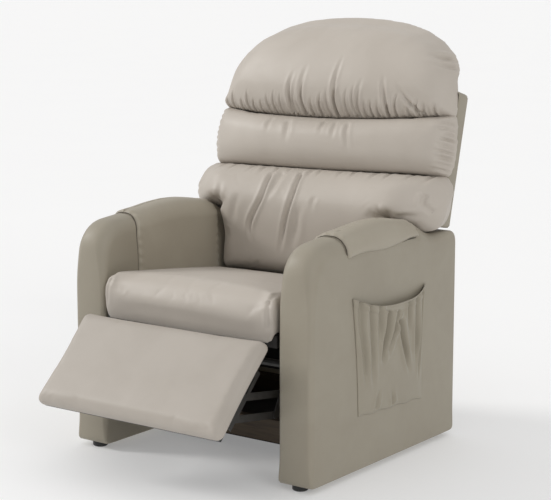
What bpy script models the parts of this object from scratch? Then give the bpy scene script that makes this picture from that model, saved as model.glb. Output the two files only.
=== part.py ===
"""Recliner armchair: upholstered arms, tilting back, gliding seat and a linkage footrest.

Metres, +Z up, front = -Y, the sitter's left = +X. Rest pose: back upright, footrest half way.
The drawing frame has its own y origin; Y_SHIFT moves every solid so that the bounding box is centred.
"""
import math
import bpy
from mathutils import Matrix

# ---- driving sizes ---------------------------------------------------------------------------
Y_SHIFT = 0.07475
GAP = 0.0003                      # clearance between neighbouring solids

# arms
ARM_IN, ARM_WIDE = 0.275, 0.100   # half of the room between the arms, width of an arm
ARM_LEN = 0.668                   # front to rear
ARM_TOP = 0.622                   # crown of the arm
ARM_REAR_TOP = 0.556              # flat part behind the arm cap
ARM_FLOOR = 0.015
WALL = 0.012                      # upholstery and foam on an arm's frame
ARM_ROOF = 0.016                  # the same over the top of the frame
CAP_FRONT, CAP_REAR = -0.192, 0.138
CAP_THICK, CAP_FLAP = 0.032, 0.006
CAP_OUTER, CAP_INNER = 0.062, 0.222   # how far the flaps reach down from the crown
ARM_BOARD, ARM_POST = 0.015, 0.030
GLIDE_R = 0.020

# seat and its track
TRACK_TOP, TRACK_DEEP, TRACK_WIDE, TRACK_T = 0.3443, 0.0443, 0.0203, 0.003
RAIL_HIGH, RAIL_THICK, RAIL_ROOM = 0.0299, 0.014, 0.0075
SEAT_FRONT, SEAT_FRONT_THICK, SEAT_REAR_THICK = -0.342, 0.1002, 0.0372
SEAT_ROOM = 0.007                 # between the seat cushion and an arm

# back
BACK_TILT = math.radians(14.4)
BACK_REAR = 0.309                 # y of the rear plane at BACK_Z
BACK_HALF = 0.3695                # wide part of the back
WING_HALF, ROLL_HALF, HEAD_HALF = 0.407, 0.378, 0.372
BACK_ROOM = 0.013                 # between the back's narrow part and an arm
PANEL, FRAME_DEEP = 0.012, 0.0346 # rear panel, frame in front of it
WING_LOW, LUMBAR_TOP, ROLL_TOP, HEAD_TOP = 0.004, 0.1236, 0.2893, 0.5275
FRAME_TOP, SHELL_TOP = 0.360, 0.505
HINGE_Y, HINGE_RISE, HINGE_PIN, HINGE_HOLE = 0.270, 0.0149, 0.005, 0.0053

# footrest and its linkage
REST_ANGLE = math.radians(45)     # footrest from vertical
FOOT_OUT, FOOT_RISE = 0.050, 0.0092   # face's top edge before the seat's front, over its underside
FOOT_LEN, FOOT_WIDER = 0.278, 0.016
PAD, BOARD = 0.028, 0.012
LINK_W, LINK_T = 0.018, 0.003
PIN_R, HOLE_R, HEAD_R = 0.004, 0.0043, 0.007
QUAD = (-0.170, 0.025)            # (y, z) vector of the parallel bars
QD_LOCAL, V_LOCAL = (0.190, -0.075), (0.003, -0.021)
N_SHARE, B_SHARE, TUBE_SHARE = 0.72, 0.30, 0.35
BRACKET_DEEP = 0.086

# what follows from them
ARM_OUT = ARM_IN + ARM_WIDE
FRONT, REAR = -ARM_LEN / 2, ARM_LEN / 2
CAP_CORE_TOP = ARM_TOP - CAP_THICK
SEAT_HALF = ARM_IN - SEAT_ROOM
RAIL_OUT = ARM_IN - RAIL_ROOM
RAIL_IN = RAIL_OUT - RAIL_THICK
RAIL_LOW = TRACK_TOP + GAP
RAIL_TOP = RAIL_LOW + RAIL_HIGH
SEAT_BOTTOM = RAIL_TOP + 0.0023
SEAT_REAR = BACK_REAR - 0.181
X_PLATE = RAIL_IN - 0.0005 - LINK_T            # inner faces of the three layers of flat steel
X_LINK = X_PLATE - GAP - LINK_T
X_BAR = X_LINK - GAP - LINK_T
BACK_Z = ARM_REAR_TOP + 0.003
BACK_REF = (BACK_REAR, BACK_Z)
BACK_NARROW = ARM_IN - BACK_ROOM
SHELL = PANEL + FRAME_DEEP
HEAD_BASE = FRAME_TOP + GAP
HINGE = (HINGE_Y, RAIL_LOW + HINGE_RISE)
HINGE_H = (HINGE[1] - BACK_Z) / math.cos(BACK_TILT)      # the hinge's height in the back's frame
COVER_LOW = (RAIL_TOP + 0.0169 - BACK_Z - SHELL * math.sin(BACK_TILT)) / math.cos(BACK_TILT)
FOOT_TOP = (SEAT_FRONT - FOOT_OUT, SEAT_BOTTOM + FOOT_RISE)
FOOT_HALF = ARM_IN + FOOT_WIDER

LEATHER = ((0.47, 0.42, 0.37), 0.45, 0.0)
LEATHER_DARK = ((0.30, 0.26, 0.22), 0.5, 0.0)
FOAM = ((0.80, 0.76, 0.62), 0.95, 0.0)
WOOD = ((0.62, 0.46, 0.28), 0.7, 0.0)
STEEL = ((0.05, 0.048, 0.045), 0.4, 0.9)
ZINC = ((0.72, 0.73, 0.75), 0.3, 1.0)
PLASTIC = ((0.02, 0.02, 0.02), 0.5, 0.0)

for old in list(bpy.data.objects):
    bpy.data.objects.remove(old)
CHAIR = bpy.data.collections.new("recliner_armchair")
TOOLS = bpy.data.collections.new("cutters")
for collection in (CHAIR, TOOLS):
    bpy.context.scene.collection.children.link(collection)
TOOLS.hide_render = True
GRAPH = bpy.context.evaluated_depsgraph_get
YZ = Matrix(((0, 0, 1, 0), (1, 0, 0, 0), (0, 1, 0, 0), (0, 0, 0, 1)))   # drawn (y, z), thick in x
XZ = Matrix(((1, 0, 0, 0), (0, 0, -1, 0), (0, 1, 0, 0), (0, 0, 0, 1)))  # drawn (x, z), thick in y
BACK = Matrix.Translation((0, BACK_REF[0], BACK_REF[1])) @ Matrix.Rotation(-BACK_TILT, 4, "X")
FOOT = Matrix.Translation((0, FOOT_TOP[0], FOOT_TOP[1])) @ Matrix.Rotation(-REST_ANGLE, 4, "X")


# ---- helpers ---------------------------------------------------------------------------------
def node(name, mesh, look, frame=None):
    """One sub-part: its object in the chair's collection, with its own material."""
    colour, roughness, metallic = look
    obj = bpy.data.objects.new(name, mesh)
    CHAIR.objects.link(obj)
    obj.matrix_world = Matrix.Translation((0, Y_SHIFT, 0)) @ (frame or Matrix())
    material = bpy.data.materials.new(name + "_material")
    material.use_nodes = True
    shader = material.node_tree.nodes["Principled BSDF"]
    shader.inputs["Base Color"].default_value = (*colour, 1.0)
    shader.inputs["Roughness"].default_value = roughness
    shader.inputs["Metallic"].default_value = metallic
    mesh.materials.clear()
    mesh.materials.append(material)
    return obj


def cutter(name, mesh, frame=None):
    obj = bpy.data.objects.new(name, mesh)
    TOOLS.objects.link(obj)
    obj.matrix_world = Matrix.Translation((0, Y_SHIFT, 0)) @ (frame or Matrix())
    obj.display_type = "WIRE"
    obj.hide_render = True
    return obj


def boolean(obj, tool, operation="DIFFERENCE"):
    modifier = obj.modifiers.new(operation.lower() + "_" + tool.name, "BOOLEAN")
    modifier.operation = operation
    modifier.solver = "EXACT"
    modifier.object = tool
    return obj


def bevel(obj, width, segments=2, angle=30):
    modifier = obj.modifiers.new("edges", "BEVEL")
    modifier.width = width
    modifier.segments = segments
    modifier.limit_method = "ANGLE"
    modifier.angle_limit = math.radians(angle)
    return obj


def block(x0, x1, y0, y1, z0, z1, y0_top=None, y1_top=None, z1_rear=None):
    """A box, or a wedge with other y values on top or another height at its rear."""
    mesh = bpy.data.meshes.new("block")
    a = y0 if y0_top is None else y0_top
    b = y1 if y1_top is None else y1_top
    zr = z1 if z1_rear is None else z1_rear
    corners = [(x0, y0, z0), (x1, y0, z0), (x1, y1, z0), (x0, y1, z0),
               (x0, a, z1), (x1, a, z1), (x1, b, zr), (x0, b, zr)]
    faces = [(0, 3, 2, 1), (4, 5, 6, 7), (0, 1, 5, 4), (1, 2, 6, 5), (2, 3, 7, 6), (3, 0, 4, 7)]
    mesh.from_pydata(corners, [], faces)
    mesh.update()
    return mesh


def welded(obj):
    """The evaluated mesh of a curve or a Screw, with its seams merged."""
    bpy.context.view_layer.update()
    mesh = bpy.data.meshes.new_from_object(obj.evaluated_get(GRAPH()))
    import bmesh
    work = bmesh.new()
    work.from_mesh(mesh)
    bmesh.ops.remove_doubles(work, verts=work.verts, dist=0.00002)
    bmesh.ops.recalc_face_normals(work, faces=work.faces)
    work.to_mesh(mesh)
    work.free()
    bpy.data.objects.remove(obj)
    return mesh


def sheet(outline, thick, holes=(), edge=0.0, edge_steps=1):
    """A flat outline with holes, thick in its own z from 0, with a rounded edge if asked."""
    curve = bpy.data.curves.new("outline", "CURVE")
    curve.dimensions = "2D"
    curve.fill_mode = "BOTH"
    curve.extrude = thick / 2 - edge
    curve.bevel_depth = edge
    curve.bevel_resolution = edge_steps
    curve.offset = -edge
    for ring in [outline, *holes]:
        spline = curve.splines.new("POLY")
        spline.points.add(len(ring) - 1)
        for point, (a, b) in zip(spline.points, ring):
            point.co = (a, b, thick / 2, 1)
        spline.use_cyclic_u = True
    for spline in curve.splines:
        for point in spline.points:
            point.co.z = 0.0
    obj = bpy.data.objects.new("outline", curve)
    bpy.context.scene.collection.objects.link(obj)
    mesh = welded(obj)
    mesh.transform(Matrix.Translation((0, 0, thick / 2)))
    return mesh


def ring(centre, radius, steps=20):
    return [(centre[0] + radius * math.cos(2 * math.pi * i / steps),
             centre[1] + radius * math.sin(2 * math.pi * i / steps)) for i in range(steps)]


def hull(points):
    """The convex outline round some points, anticlockwise."""
    points = sorted(set(points))

    def half(sequence):
        chain = []
        for p in sequence:
            while len(chain) > 1:
                (ax, ay), (bx, by) = chain[-2], chain[-1]
                if (bx - ax) * (p[1] - ay) - (by - ay) * (p[0] - ax) > 0:
                    break
                chain.pop()
            chain.append(p)
        return chain[:-1]
    return half(points) + half(points[::-1])


def turned(profile, steps=20):
    """A solid turned about X from (x, radius) pairs that begin and end on the axis."""
    mesh = bpy.data.meshes.new("profile")
    mesh.from_pydata([(x, r, 0.0) for x, r in profile], [(i, i + 1) for i in range(len(profile) - 1)], [])
    obj = bpy.data.objects.new("profile", mesh)
    bpy.context.scene.collection.objects.link(obj)
    screw = obj.modifiers.new("turn", "SCREW")
    screw.axis = "X"
    screw.steps = screw.render_steps = steps
    screw.use_merge_vertices = True
    screw.merge_threshold = 0.00001
    return welded(obj)


def rod(x0, x1, radius, steps=20):
    return turned([(x0, 0.0), (x0, radius), (x1, radius), (x1, 0.0)], steps)


def at(point):
    return Matrix.Translation((0, point[0], point[1]))


def pair(name, build):
    """The same sub-part on both sides: +X is the sitter's left."""
    for side, sign in (("L", 1), ("R", -1)):
        build(f"{name}_{side}", sign)


def flat(name, outline, inner_x, sign, look, holes=(), thick=LINK_T):
    """Flat steel drawn in (y, z), from inner_x outwards on one side."""
    x = inner_x if sign > 0 else -inner_x - thick
    return node(name, sheet(outline, thick, holes), look, Matrix.Translation((x, 0, 0)) @ YZ)


def pins(obj, points, sign, inner, outer, head=True):
    """Turned pins that are one with their plate. inner and outer are distances from the middle."""
    for i, point in enumerate(points):
        if head:
            profile = [(inner - 0.0016, 0), (inner - 0.0016, HEAD_R), (inner, HEAD_R),
                       (inner, PIN_R), (outer, PIN_R), (outer, 0)]
        else:
            profile = [(inner, 0), (inner, PIN_R), (outer, PIN_R), (outer, 0)]
        mesh = turned([(sign * x, r) for x, r in profile])
        boolean(obj, cutter(f"pin_{obj.name}_{i}_{inner:.3f}", mesh, at(point)), "UNION")


# ---- arms ------------------------------------------------------------------------------------
def arm_outline():
    """The side view of an arm, anticlockwise in (y, z)."""
    radius = 0.085
    points = [(FRONT, ARM_FLOOR), (REAR, ARM_FLOOR)]
    points += [(REAR - 0.028 + 0.028 * math.cos(a), ARM_REAR_TOP - 0.028 + 0.028 * math.sin(a))
               for a in (math.radians(d) for d in (0, 30, 60, 90))]
    points += [(REAR - 0.110, ARM_REAR_TOP), (REAR - 0.138, ARM_REAR_TOP + 0.012)]
    points += [(REAR - back, ARM_TOP - down) for back, down in (
        (0.167, 0.030), (0.209, 0.018), (0.252, 0.011), (0.309, 0.004), (0.366, 0.0), (0.429, -0.0005),
        (0.490, 0.001), (0.539, 0.005))]
    centre = (FRONT + radius, ARM_TOP - 0.010 - radius)
    points += [(centre[0] + radius * math.cos(a), centre[1] + radius * math.sin(a))
               for a in (math.radians(d) for d in (96, 112, 128, 144, 160, 172))]
    return points


def cap_section(gap):
    """The saddle of padded cover over an arm, in (x, z) measured from the arm's inner face."""
    inner, outer, over = ARM_TOP - CAP_INNER + gap, ARM_TOP - CAP_OUTER + gap, ARM_TOP + 0.08
    near, far = CAP_FLAP - gap, ARM_WIDE - CAP_FLAP + gap
    core = CAP_CORE_TOP + gap
    return [(-0.02, inner), (near, inner), (near, core), (far, core), (far, outer), (ARM_WIDE + 0.02, outer),
            (ARM_WIDE + 0.02, over), (-0.02, over)]


def mirrored(mesh, sign):
    """The mesh itself, or its mirror image with its faces turned to match."""
    if sign < 0:
        mesh.transform(Matrix.Scale(-1, 4, (1, 0, 0)))
        mesh.flip_normals()
    return mesh


def arm(name, sign):
    side = name[-1]

    def shaped(mesh, x=ARM_IN):
        mesh.transform(Matrix.Translation((x, 0, 0)) @ YZ)
        return mirrored(mesh, sign)

    roof = ARM_REAR_TOP - ARM_ROOF
    padded = dict(thick=ARM_WIDE, edge=0.010, edge_steps=2)
    cover = node(f"arm_cover_{side}", shaped(sheet(arm_outline(), **padded)), LEATHER_DARK)
    cavity = block(ARM_IN + WALL, ARM_OUT - WALL, FRONT + WALL, REAR - WALL, -0.02, roof)
    boolean(cover, cutter(f"cavity_{side}", mirrored(cavity, sign)))

    def saddle(gap, y0, y1):
        mesh = sheet(cap_section(gap), y1 - y0)
        mesh.transform(Matrix.Translation((ARM_IN, y1, 0)) @ XZ)
        return mirrored(mesh, sign)
    boolean(cover, cutter(f"cap_recess_{side}", saddle(0.0, CAP_FRONT, CAP_REAR)))
    cap = node(f"arm_cap_{side}", shaped(sheet(arm_outline(), **padded)), LEATHER)
    boolean(cap, cutter(f"cap_form_{side}", saddle(GAP, CAP_FRONT + GAP, CAP_REAR - GAP)), "INTERSECT")

    x0 = ARM_IN + WALL + GAP
    x1 = ARM_OUT - WALL - GAP
    y0, y1 = FRONT + WALL + GAP, REAR - WALL - GAP
    board = block(x0, x0 + ARM_BOARD, y0, y1, ARM_FLOOR, roof - GAP)
    node(f"arm_side_board_{side}", mirrored(board, sign), WOOD)
    posts = (("front", y0, y0 + ARM_POST), ("rear", y1 - ARM_POST, y1))
    for place, a, b in posts:
        post = block(x0 + ARM_BOARD + GAP, x1, a, b, ARM_FLOOR, roof - GAP)
        node(f"arm_{place}_post_{side}", mirrored(post, sign), WOOD)
        high = ARM_FLOOR - GAP
        foot = [(0.0, 0.0), (0.0, GLIDE_R - 0.003), (0.003, GLIDE_R), (high, GLIDE_R), (high, 0.0)]
        mesh = turned(foot)
        mesh.transform(Matrix.Rotation(-math.pi / 2, 4, "Y"))
        inset = WALL + 0.019
        spot = FRONT + inset if place == "front" else REAR - inset
        frame = Matrix.Translation((sign * (ARM_IN + 0.047), spot, 0.0))
        node(f"glide_{place}_{side}", mesh, PLASTIC, frame)


pair("arm", arm)

# side pocket on the sitter's left: a gathered front sheet with side and bottom edges, open on top
pocket_outline = [(-0.140, 0.154), (0.158, 0.140), (0.167, 0.440), (0.120, 0.412), (0.060, 0.404),
                  (-0.040, 0.404), (-0.110, 0.424), (-0.169, 0.453)]
pocket = node("side_pocket", sheet(pocket_outline, 0.022, edge=0.004), LEATHER,
              Matrix.Translation((ARM_OUT + GAP, 0, 0)) @ YZ)
pocket_room = [(-0.130, 0.164), (0.148, 0.151), (0.157, 0.50), (-0.158, 0.50)]
room_frame = Matrix.Translation((ARM_OUT - 0.0315, 0, 0)) @ YZ
boolean(pocket, cutter("pocket_room", sheet(pocket_room, 0.050), room_frame))

# recessed release pull on the sitter's right
PULL_Y0, PULL_Y1, PULL_Z0, PULL_Z1 = -0.190, -0.080, 0.372, 0.428
bezel_mesh = block(-ARM_OUT - 0.0103, -ARM_OUT - GAP, PULL_Y0, PULL_Y1, PULL_Z0, PULL_Z1)
bezel = bevel(node("release_bezel", bezel_mesh, PLASTIC), 0.002)
window = block(-ARM_OUT - 0.020, -ARM_OUT + 0.005, PULL_Y0 + 0.010, PULL_Y1 - 0.010, PULL_Z0 + 0.010,
               PULL_Z1 - 0.006)
boolean(bezel, cutter("pull_window", window))
PULL_AXIS = (-ARM_OUT - 0.0053, PULL_Z1 - 0.011)


def pull_rod(radius, y0, y1):
    mesh = rod(y0, y1, radius, 16)
    mesh.transform(Matrix.Rotation(math.pi / 2, 4, "Z"))
    return mesh, Matrix.Translation((PULL_AXIS[0], 0, PULL_AXIS[1]))


boolean(bezel, cutter("pull_bores", *pull_rod(0.0025, PULL_Y0 + 0.004, PULL_Y1 - 0.004)))
paddle_mesh = block(-ARM_OUT - 0.0078, -ARM_OUT - 0.0028, PULL_Y0 + 0.0106, PULL_Y1 - 0.0106, PULL_Z0 + 0.020,
                    PULL_Z1 - 0.0085)
paddle = node("release_paddle", paddle_mesh, ZINC)
boolean(paddle, cutter("pull_axle", *pull_rod(0.0022, PULL_Y0 + 0.0045, PULL_Y1 - 0.0045)), "UNION")

# ---- base between the arms -------------------------------------------------------------------
INNER = ARM_IN - GAP
bevel(node("front_cross_rail", block(-INNER, INNER, -0.122, -0.102, 0.038, 0.098), WOOD), 0.002)
bevel(node("rear_cross_rail", block(-INNER, INNER, REAR - 0.072, REAR - 0.052, 0.038, 0.098), WOOD), 0.002)
rear_panel = block(-INNER, INNER, REAR - 0.029, REAR - 0.017, 0.060, TRACK_TOP - 0.009)
node("rear_base_panel", rear_panel, LEATHER_DARK)


def track(name, sign):
    tip, web, low, under = INNER - TRACK_WIDE, INNER - TRACK_T, TRACK_TOP - TRACK_DEEP, TRACK_TOP - TRACK_T
    section = [(tip, under), (web, under), (web, low), (INNER, low), (INNER, TRACK_TOP), (tip, TRACK_TOP)]
    mesh = sheet(section, REAR - 0.049 - (FRONT + 0.029))
    mesh.transform(Matrix.Translation((0, REAR - 0.049, 0)) @ XZ)
    node(name, mirrored(mesh, sign), STEEL)


pair("seat_track", track)

# ---- seat ------------------------------------------------------------------------------------


RAIL_FRONT = SEAT_FRONT + 0.017
CROSS_DEEP = 0.025


def side_rail(name, sign):
    end = HINGE_Y + 0.016
    outline = [(RAIL_FRONT, RAIL_LOW), (end - 0.008, RAIL_LOW), (end, RAIL_LOW + 0.008),
               (end, RAIL_TOP - 0.008), (end - 0.008, RAIL_TOP), (RAIL_FRONT, RAIL_TOP)]
    flat(name, outline, RAIL_IN, sign, WOOD, [ring(HINGE, HINGE_HOLE)], RAIL_THICK)


pair("seat_side_rail", side_rail)
CROSS = RAIL_IN - GAP
SPRING_FRONT, SPRING_REAR = RAIL_FRONT + CROSS_DEEP, SEAT_REAR - 0.028
cross_low = RAIL_LOW + 0.0004
node("seat_front_rail", block(-CROSS, CROSS, RAIL_FRONT, SPRING_FRONT, cross_low, RAIL_TOP), WOOD)
node("seat_rear_rail", block(-CROSS, CROSS, SPRING_REAR, SPRING_REAR + CROSS_DEEP, cross_low, RAIL_TOP), WOOD)
SPRING_Z = RAIL_TOP - 0.0085
for index, x in enumerate((-0.55 * SEAT_HALF, 0.0, 0.55 * SEAT_HALF), 1):
    wire = bpy.data.curves.new(f"seat_spring_{index}", "CURVE")
    wire.dimensions = "3D"
    wire.bevel_depth = 0.0018
    wire.bevel_resolution = 1
    wire.use_fill_caps = True
    bends = 13
    path = [(x, SPRING_FRONT + 0.001, SPRING_Z), (x, SPRING_FRONT + 0.010, SPRING_Z)]
    for k in range(bends):
        y = SPRING_FRONT + 0.028 + k * (SPRING_REAR - SPRING_FRONT - 0.056) / (bends - 1)
        swing = 0.025 if k % 2 else -0.025
        path += [(x + swing, y - 0.009, SPRING_Z), (x + swing, y + 0.009, SPRING_Z)]
    path += [(x, SPRING_REAR - 0.010, SPRING_Z), (x, SPRING_REAR - 0.001, SPRING_Z)]
    spline = wire.splines.new("POLY")
    spline.points.add(len(path) - 1)
    for point, place in zip(spline.points, path):
        point.co = (*place, 1)
    spring = node(f"seat_spring_{index}", wire, STEEL)
seat_mesh = block(-SEAT_HALF, SEAT_HALF, SEAT_FRONT, SEAT_REAR, SEAT_BOTTOM, SEAT_BOTTOM + SEAT_FRONT_THICK,
                  z1_rear=SEAT_BOTTOM + SEAT_REAR_THICK)
bevel(node("seat_cushion", seat_mesh, LEATHER), 0.016, 3)

# ---- footrest linkage, in (y, z) -------------------------------------------------------------


def foot_point(s, n):
    """A point s down the footrest's face and n out of it."""
    sin, cos = math.sin(REST_ANGLE), math.cos(REST_ANGLE)
    return (FOOT_TOP[0] - s * sin - n * cos, FOOT_TOP[1] - s * cos + n * sin)


def between(a, b, share):
    return (a[0] + share * (b[0] - a[0]), a[1] + share * (b[1] - a[1]))


V = foot_point(*V_LOCAL)
QD = foot_point(*QD_LOCAL)
QC = between(V, QD, N_SHARE)
P1 = (V[0] - QUAD[0], V[1] - QUAD[1])
M = (QD[0] - QUAD[0], QD[1] - QUAD[1])
N = between(P1, M, N_SHARE)
P2 = (P1[0] - B_SHARE * QUAD[0], P1[1] - B_SHARE * QUAD[1])
MB = (M[0] - B_SHARE * QUAD[0], M[1] - B_SHARE * QUAD[1])
TUBE = between(P1, M, TUBE_SHARE)
W = LINK_W / 2
BAR_OUT = X_BAR + LINK_T


def seat_plate(name, sign):
    top = RAIL_TOP - 0.0001
    outline = hull(ring(P1, 0.013) + ring(P2, 0.013) + [(P1[0] - 0.020, top), (P2[0] + 0.020, top)])
    flat(name, outline, X_PLATE, sign, STEEL, [ring(P1, HOLE_R), ring(P2, HOLE_R)])


def drive_link(name, sign):
    obj = flat(name, hull(ring(P1, W) + ring(M, W)), X_LINK, sign, STEEL)
    pins(obj, [P1], sign, X_LINK + 0.001, X_PLATE + LINK_T, head=False)
    pins(obj, [N, M], sign, X_BAR - GAP, X_LINK + 0.001)


def rear_link(name, sign):
    obj = flat(name, hull(ring(P2, W) + ring(MB, W)), X_LINK, sign, STEEL)
    pins(obj, [P2], sign, X_LINK + 0.001, X_PLATE + LINK_T, head=False)
    pins(obj, [MB], sign, X_BAR - GAP, X_LINK + 0.001)


def lower_bar(name, sign):
    flat(name, hull(ring(MB, W) + ring(QD, W)), X_BAR, sign, STEEL, [ring(p, HOLE_R) for p in (MB, M, QD)])


def upper_bar(name, sign):
    flat(name, hull(ring(N, W) + ring(QC, W)), X_BAR, sign, STEEL, [ring(p, HOLE_R) for p in (N, QC)])


def foot_bracket(name, sign):
    back = -(PAD + BOARD + 2 * GAP)
    outline = [foot_point(s, n) for s, n in (
        (0.050, back), (0.050, -BRACKET_DEEP), (0.214, -BRACKET_DEEP), (0.214, back), (0.192, back),
        (0.180, back - 0.021), (0.105, back - 0.007), (0.078, back))]
    slot = [foot_point(s, n) for s, n in ((0.070, -0.074), (0.070, -0.066), (0.118, -0.066), (0.118, -0.074))]
    obj = flat(name, outline, X_LINK, sign, STEEL, [slot])
    pins(obj, [QC, QD], sign, X_BAR - GAP, X_LINK + 0.001)


for label, build in (("seat_plate", seat_plate), ("drive_link", drive_link), ("rear_link", rear_link),
                     ("lower_bar", lower_bar), ("upper_bar", upper_bar), ("footrest_bracket", foot_bracket)):
    pair(label, build)
reach = X_LINK - GAP
node("drive_tube", rod(-reach, reach, 0.009), STEEL, at(TUBE))
pad = block(-FOOT_HALF, FOOT_HALF, 0.0, PAD, -FOOT_LEN, 0.0)
bevel(node("footrest_pad", pad, LEATHER, FOOT), 0.010, 3)
board = block(-FOOT_HALF + 0.015, FOOT_HALF - 0.015, PAD + GAP, PAD + GAP + BOARD, -FOOT_LEN + 0.010, -0.010)
bevel(node("footrest_board", board, WOOD, FOOT), 0.002)


# ---- back, drawn in its own tilted frame: x, forward is -y, up the panel is z ------------------
def back_block(name, x0, x1, h0, h1, d0, d1, look, d1_top=None, soft=0.0, steps=2):
    mesh = block(x0, x1, -d1, -d0, h0, h1, y0_top=None if d1_top is None else -d1_top)
    obj = node(name, mesh, look, BACK)
    return bevel(obj, soft, steps) if soft else obj


def arch(half, base, top, steps=22, straight=0.0):
    points = [(-half, straight), (half, straight)] if straight else []
    rise = top - base
    start = 1 if straight and straight == base else 0
    points += [(half * math.cos(math.pi * i / steps), base + rise * math.sin(math.pi * i / steps))
               for i in range(start, steps + 1 - start)]
    return points


def back_sheet(name, outline, d0, d1, look, edge=0.0, edge_steps=1):
    frame = BACK @ Matrix.Translation((0, -d0, 0)) @ XZ
    return node(name, sheet(outline, d1 - d0, edge=edge, edge_steps=edge_steps), look, frame)


POST = PANEL + FRAME_DEEP / 2
POST_OUT = X_PLATE - GAP
back_block("back_panel_lower", -POST_OUT, POST_OUT, HINGE_H + 0.026, 0.0197, 0.0, PANEL, LEATHER_DARK)
upper = arch(BACK_HALF, HEAD_BASE, SHELL_TOP, straight=0.020)
back_sheet("back_panel_upper", upper, 0.0, PANEL, LEATHER_DARK)
back_sheet("head_block", arch(BACK_HALF, HEAD_BASE, SHELL_TOP), PANEL + GAP, SHELL - GAP, FOAM)


def back_side(name, sign):
    side = name[-1]

    def span(a, b):
        return (a, b) if sign > 0 else (-b, -a)
    post = (*span(POST_OUT - 0.0347, POST_OUT), HINGE_H - 0.014, FRAME_TOP, PANEL + GAP, POST)
    back_block(f"back_post_{side}", *post, WOOD)
    edge = (*span(BACK_HALF - 0.020, BACK_HALF), 0.0203, FRAME_TOP, PANEL + GAP, SHELL - GAP)
    border = back_block(f"back_side_border_{side}", *edge, LEATHER_DARK)
    bevel(border, 0.003, 2)
    spots = [BACK @ Matrix.Translation((0, -depth, HINGE_H + rise))
             for depth in (POST - 0.001, PANEL + 0.001) for rise in (-0.009, 0.106)]
    corners = [(m.translation.y, m.translation.z) for m in spots]
    bracket = flat(f"back_bracket_{side}", hull(ring(HINGE, 0.012) + corners), X_PLATE, sign, STEEL)
    inner, outer = X_PLATE + 0.001, RAIL_OUT - 0.0005
    profile = ((inner, 0), (inner, HINGE_PIN), (outer, HINGE_PIN), (outer, 0))
    mesh = turned([(sign * x, r) for x, r in profile])
    boolean(bracket, cutter(f"hinge_pin_{side}", mesh, at(HINGE)), "UNION")


pair("back", back_side)
RAIL0, RAIL1 = POST + GAP, SHELL - GAP
SPAN = BACK_HALF - 0.020 - GAP
back_block("back_rail_mid", -SPAN, SPAN, 0.0205, 0.0550, RAIL0, RAIL1, WOOD)
back_block("back_rail_top", -SPAN, SPAN, FRAME_TOP - 0.032, FRAME_TOP, RAIL0, RAIL1, WOOD)
low = (-BACK_NARROW, BACK_NARROW, COVER_LOW, WING_LOW - GAP, SHELL, 0.135)
lumbar = (-WING_HALF, WING_HALF, WING_LOW, LUMBAR_TOP, SHELL, 0.190)
middle = (-ROLL_HALF, ROLL_HALF, LUMBAR_TOP + GAP, ROLL_TOP, SHELL, 0.176)
back_block("back_cushion_low", *low, LEATHER, 0.186, soft=0.014, steps=3)
back_block("lumbar_pillow", *lumbar, LEATHER, 0.176, soft=0.042, steps=4)
back_block("mid_roll", *middle, LEATHER, 0.150, soft=0.034, steps=4)
head = arch(HEAD_HALF, ROLL_TOP + GAP, HEAD_TOP, straight=ROLL_TOP + GAP)
back_sheet("head_pillow", head, SHELL, 0.155, LEATHER, edge=0.030, edge_steps=3)
bpy.context.view_layer.update()
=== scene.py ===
"""Looks of a recliner armchair in greige faux leather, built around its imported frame.

Every sub-assembly is a class. Its sizes are dataclass fields in metres, and its methods build closed
shells with numpy and dress them. The chair is drawn with its arms centred on y = 0, and `shift` moves
drawn places to the frame's own.
"""

from __future__ import annotations

import logging
import math
import sys
from dataclasses import dataclass, field
from enum import Enum
from typing import Callable, Sequence

import bmesh
import bpy
import numpy as np
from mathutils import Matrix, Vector

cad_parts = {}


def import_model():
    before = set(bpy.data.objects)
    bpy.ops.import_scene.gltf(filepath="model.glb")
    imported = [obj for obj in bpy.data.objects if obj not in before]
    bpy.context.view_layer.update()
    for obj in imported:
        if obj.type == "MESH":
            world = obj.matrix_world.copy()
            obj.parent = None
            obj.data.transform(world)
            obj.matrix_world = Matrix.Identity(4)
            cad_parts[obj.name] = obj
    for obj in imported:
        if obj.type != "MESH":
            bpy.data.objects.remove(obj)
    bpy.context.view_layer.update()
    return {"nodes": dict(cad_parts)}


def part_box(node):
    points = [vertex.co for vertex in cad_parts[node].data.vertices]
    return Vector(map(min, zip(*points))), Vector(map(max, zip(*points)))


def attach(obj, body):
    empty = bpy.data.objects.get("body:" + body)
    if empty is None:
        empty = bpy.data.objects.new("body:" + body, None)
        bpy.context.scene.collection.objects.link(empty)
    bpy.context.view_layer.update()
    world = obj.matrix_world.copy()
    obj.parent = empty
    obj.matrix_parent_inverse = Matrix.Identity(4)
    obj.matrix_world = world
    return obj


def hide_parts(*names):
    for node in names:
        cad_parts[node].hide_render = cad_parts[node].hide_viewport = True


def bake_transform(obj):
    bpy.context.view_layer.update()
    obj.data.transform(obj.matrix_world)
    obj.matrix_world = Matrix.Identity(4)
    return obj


LOG = logging.getLogger("recliner")
Array = np.ndarray
Colour = tuple[float, float, float]
Piece = bpy.types.Object
Material = bpy.types.Material
Socket = bpy.types.NodeSocket
Surface = Callable[[Array, Array, Array], Array]


# ---------------------------------------------------------------- curves and grids


def ease(low: float | Array, high: float | Array, value: Array | float) -> Array:
    """A smooth step: 0 up to low, 1 from high, and 3q² − 2q³ between them."""
    q = np.clip((np.asarray(value, float) - low) / (np.asarray(high) - low), 0, 1)
    return q * q * (3 - 2 * q)


def bell(value: Array, centre: float, width: float) -> Array:
    """A bell curve of height 1: e to the minus squared distance from centre in widths."""
    return np.exp(-(((value - centre) / width) ** 2))


def rounding(reach: Array, power: float = 2.0) -> Array:
    """The rise of a rounded edge: (1 − (1 − reach)^power)^(1/power), reach being 0 at the rim."""
    q = 1 - np.clip(reach, 0, 1)
    return np.clip(1 - q**power, 0, 1) ** (1 / power)


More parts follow.
